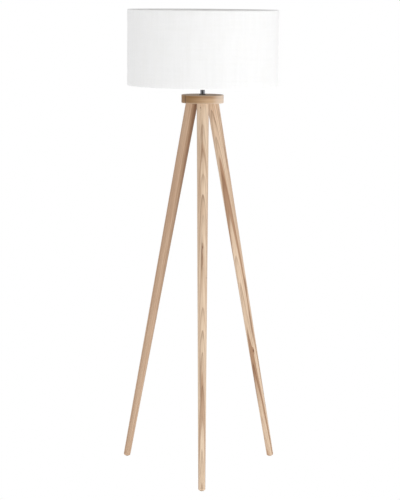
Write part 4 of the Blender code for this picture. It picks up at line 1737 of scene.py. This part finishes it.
        def step_in(r: Array, z: Array, a: Array) -> tuple[Array, Array]:
            """The last stretch slides inside the first."""
            inner = np.clip((a - begin - FULL_TURN + 0.05) / 0.045, 0, 1)
            return r - (thick + 0.05 * MM) * inner * inner * (3 - 2 * inner), z

        grid = revolve(outline, base=low.z, wear=wear, angles=angles, wrap=False, relief=step_in)
        ends = [np.broadcast_to(grid.points[:, k].mean(axis=0), (len(outline), 1, 3)) for k in (0, -1)]
        grid.points = np.concatenate([ends[0], grid.points, ends[1]], axis=1)
        pick = np.concatenate([[0], np.arange(len(angles)), [len(angles) - 1]])
        grid.uv = grid.uv[:, np.append(pick, pick[-1])]
        grid.marks["edge"] = grid.marks["edge"][:, pick]
        return add_piece("stiff_liner", [grid], Body.SHADE, SHADED_LINER_FILM, "shade_liner")

    def wires(self) -> None:
        """The two ring wires, thickened by 8 percent where their ends are butt-welded."""

        def weld(r: Array, z: Array, a: Array) -> tuple[Array, Array]:
            """Swells the section about its centre near the weld."""
            swell = 1 + 0.08 * np.exp(-((np.mod(a - 1.2 + pi, FULL_TURN) - pi) / 0.006) ** 2)
            return self.wire_radius + (r - self.wire_radius) * swell, z

        for name, height in (("bottom", self.wire_inset), ("top", self.height - self.wire_inset)):
            section = arc((self.wire_radius, height), self.wire, 0, 360, 13)[:-1]
            hoop = revolve(section, 320, True, self.base, relief=weld)
            add_piece("hoop_" + name, [hoop], Body.SHADE, POWDER, "wire_ring_" + name)

    def spider(self) -> None:
        """The pressed hub and its arms, each bent down to the bottom hoop and welded at both ends."""
        low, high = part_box("spider_hub")
        outer = (high.x - low.x) / 2 / MM
        add_piece("pressed_hub", [turned([
            (20.4, 0, 0.25), (outer, 0, 0.4), (outer, 1.5, 0.4), (22.2, 1.5, 0.2), (21.9, 1.1, 0.2),
            (20.4, 1.1, 0.2)], low.z, 128)], Body.SHADE, POWDER, "spider_hub")
        for number, angle in enumerate(self.arm_angles, start=1):
            self.arm(number, radians(angle), (low.z + high.z) / 2, outer * MM)

    def arm(self, number: int, angle: float, top: float, inner: float) -> None:
        """One arm: straight out, round a bend of 14 mm radius, and down to the hoop.

        Args:
            number: which arm.
            angle: its direction.
            top: the height of the hub's middle.
            inner: where the arm leaves the hub.
        """
        bend_at, bend = 212 * MM, 14 * MM
        foot = self.base + self.wire_inset
        slope = atan2(top - foot, self.wire_radius - bend_at)
        setback = bend * tan(slope / 2)
        stand_off = self.wire + 0.25 * MM
        end = (self.wire_radius - stand_off * cos(slope), foot + stand_off * sin(slope))
        turn = np.linspace(0, slope, 14)
        curve = np.stack([bend_at - setback + bend * np.sin(turn), top - bend * (1 - np.cos(turn))], axis=1)
        out = np.linspace(inner + 0.2 * MM, bend_at - setback, 24, endpoint=False)
        run = np.linspace(0, 1, 12)[1:, None]
        down = curve[-1] + (np.array(end) - curve[-1]) * run
        section = np.vstack([np.stack([out, 0 * out + top], axis=1), curve, down])
        path = np.stack([AXIS.x + section[:, 0] * cos(angle), AXIS.y + section[:, 0] * sin(angle),
                         section[:, 1]], axis=1)
        side = np.array([-sin(angle), cos(angle), 0])
        radius = np.full(len(path), self.arm_radius)
        radius[[0, -1]] *= 0.8
        reach = inner + 0.4 * MM
        hub_end = np.array([AXIS.x + reach * cos(angle), AXIS.y + reach * sin(angle), top])
        beads = [blob(hub_end, (1.3 * MM, 2.6 * MM, 1.9 * MM), angle),
                 blob(path[-1], (1.7 * MM, 2.2 * MM, 1.5 * MM), angle)]
        add_piece(f"bent_arm_{number}", [sweep(path, side, radius, 20), *beads], Body.SHADE, POWDER,
                  f"spider_arm_{number}")

    def dress(self) -> None:
        """Builds the shade."""
        liner = self.liner()
        cover = self.cover()
        lap = self.lap()
        _, along = self.fold()
        self.wires()
        self.spider()


# ------------------------------------------------------------------ studio


@dataclass(frozen=True)
class Softbox:
    """A large soft lamp.

    Attributes:
        name: its name.
        place, aim: where it stands and what it points at.
        size: its width and height.
        power: watts.
        mirrored: polished metal shows it.
    """

    name: str
    place: tuple[float, float, float]
    aim: tuple[float, float, float]
    size: tuple[float, float]
    power: float
    mirrored: bool = True

    def light(self) -> None:
        """Adds the lamp to the scene."""
        data = bpy.data.lights.new(self.name, "AREA")
        data.shape = "RECTANGLE"
        data.size, data.size_y = self.size
        data.energy = self.power
        lamp = bpy.data.objects.new(self.name, data)
        lamp.location = self.place
        lamp.visible_glossy = self.mirrored
        lamp.rotation_mode = "QUATERNION"
        lamp.rotation_quaternion = (Vector(self.aim) - Vector(self.place)).to_track_quat("-Z", "Y")
        bpy.context.scene.collection.objects.link(lamp)


@dataclass
class Studio:
    """A white sweep, soft light from both sides and the camera.

    Attributes:
        distance, height: the camera's from the lamp's axis and above the floor.
        aside: how far the camera is moved to the right.
        turn: the camera's turn about the lamp's axis, in radians.
        pitch, roll: how far it looks down and leans, in radians.
        lens: focal length for a 36 mm frame.
        floor_radius, floor_glow: of the white floor, and the light that it gives back.
        dark_way: the direction in which reflections see a dimmer patch of the tent.
        lamps: the soft lamps.
    """

    distance: float = 5.739
    height: float = 1.6075
    aside: float = -0.0044
    turn: float = -0.0261
    pitch: float = 0.1484
    roll: float = 0.008
    lens: float = 124.37
    floor_radius: float = 12.0
    floor_glow: float = 0.46
    dark_way: tuple[float, float, float] = (-0.17, -0.985, 0.0)
    lamps: tuple[Softbox, ...] = (
        Softbox("key_right", (1.05, -3.9, 1.0), (0, 0, 1.1), (3.0, 1.3), 43.0, False),
        Softbox("rim_right", (3.2, -0.1, 1.0), (0, 0, 1.1), (1.2, 2.0), 10.0),
        Softbox("rim_left", (-3.1, 1.3, 1.1), (0, 0, 1.0), (1.2, 2.0), 9.0),
    )

    def camera(self) -> None:
        """The camera, aimed by its pitch and leaned by its roll, turned with its place about the axis."""
        data = bpy.data.cameras.new("studio_camera")
        data.lens, data.sensor_width = self.lens, 36
        data.clip_end = 200
        camera = bpy.data.objects.new("studio_camera", data)
        ahead = Vector((0, cos(self.pitch), -sin(self.pitch)))
        right = Vector((1, 0, 0))
        above = right.cross(ahead)
        side = right * cos(self.roll) + above * sin(self.roll)
        head = above * cos(self.roll) - right * sin(self.roll)
        facing = Matrix((side, head, -ahead)).transposed().to_4x4()
        spin = Matrix.Rotation(self.turn, 4, "Z")
        axis = Matrix.Translation((AXIS.x, AXIS.y, 0))
        stand = Matrix.Translation((self.aside, -self.distance, self.height))
        camera.matrix_world = axis @ spin @ stand @ facing
        bpy.context.scene.collection.objects.link(camera)
        bpy.context.scene.camera = camera

    def floor(self) -> None:
        """A flat pale disc of floor, see-through from below: radii are spaced by their square."""
        r = self.floor_radius * np.linspace(0, 1, 24)[:, None] ** 2
        a = (np.arange(96) * FULL_TURN / 96)[None]
        points = np.stack([r * np.cos(a), r * np.sin(a), 0 * r * a], axis=-1)
        mesh = build_mesh("sweep_floor", [Grid(points)])
        if mesh.polygons[0].normal.z < 0:
            mesh.flip_normals()
        floor = bpy.data.objects.new("sweep_floor", mesh)
        material = bpy.data.materials.new("pale_floor")
        material.use_nodes = True
        graph = Graph(material.node_tree)
        shader = material.node_tree.nodes["Principled BSDF"]
        place = graph.add("TexCoord").outputs["Object"]
        tint = graph.mix(graph.noise(place, 1.5, 3), srgb(250, 250, 250), srgb(246, 246, 246))
        graph.tree.links.new(tint, shader.inputs["Base Color"])
        shader.inputs["Roughness"].default_value = 0.9
        shader.inputs["Specular IOR Level"].default_value = 0.1
        shader.inputs["Emission Color"].default_value = (1, 1, 1, 1)
        shader.inputs["Emission Strength"].default_value = self.floor_glow
        seen = graph.add("LightPath").outputs["Is Camera Ray"]
        white = graph.add("Emission", {"Color": (1, 1, 1), "Strength": 1.0})
        both = graph.add("MixShader", {0: seen, 1: shader.outputs[0], 2: white.outputs[0]})
        under = graph.add("NewGeometry").outputs["Backfacing"]
        clear = graph.add("BsdfTransparent")
        both = graph.add("MixShader", {0: under, 1: both.outputs[0], 2: clear.outputs[0]})
        graph.tree.links.new(both.outputs[0], graph.tree.nodes["Material Output"].inputs["Surface"])
        mesh.materials.append(material)
        bpy.context.scene.collection.objects.link(floor)

    def surroundings(self) -> None:
        """White seen directly; for light and reflections, bright at both sides and dimmer ahead and above."""
        world = bpy.data.worlds.new("white_tent")
        world.use_nodes = True
        bpy.context.scene.world = world
        graph = Graph(world.node_tree)
        background = world.node_tree.nodes["Background"]
        way = graph.add("TexCoord").outputs["Generated"]
        axes = graph.add("SeparateXYZ", {0: way})
        sideways = graph.between(axes.outputs["X"], -0.5, 0.9, 0.83, 0.84)
        rear = graph.between(axes.outputs["Y"], -0.2, 0.7, 0.0, 0.04)
        above = graph.between(axes.outputs["Z"], 0.05, 0.6, 1.0, 0.66)
        ahead = graph.add("VectorMath", {0: way, 1: self.dark_way}, operation="DOT_PRODUCT").outputs["Value"]
        level = graph.between(graph.math("ABSOLUTE", axes.outputs["Z"]), 0.1, 0.25, 1.0, 0.0)
        gap = graph.math("MULTIPLY", graph.between(ahead, 0.8, 0.93), level)
        light = graph.math("MULTIPLY", graph.math("ADD", sideways, rear), above)
        light = graph.math("MULTIPLY", light, graph.math("SUBTRACT", 1.0, graph.math("MULTIPLY", gap, 0.9)))
        seen = graph.add("LightPath").outputs["Is Camera Ray"]
        strength = graph.add("Mix", {0: seen, 2: light, 3: 1.0}, data_type="FLOAT").outputs[0]
        background.inputs["Color"].default_value = (1, 1, 1, 1)
        world.node_tree.links.new(strength, background.inputs["Strength"])

    def dress(self) -> None:
        """Sets up the floor, light, view and camera."""
        self.floor()
        self.surroundings()
        for lamp in self.lamps:
            lamp.light()
        self.camera()
        bpy.context.scene.view_settings.view_transform = "Standard"


def main() -> None:
    """Builds every sub-assembly from the floor up, then the studio."""
    logging.basicConfig(level=logging.INFO, format="%(message)s")
    for side in Side:
        Leg(side).dress()
    Collar().dress()
    Stem().dress()
    Lampholder().dress()
    Bulb().dress()
    DrumShade().dress()
    Studio().dress()


if __name__ == "__main__":
    main()
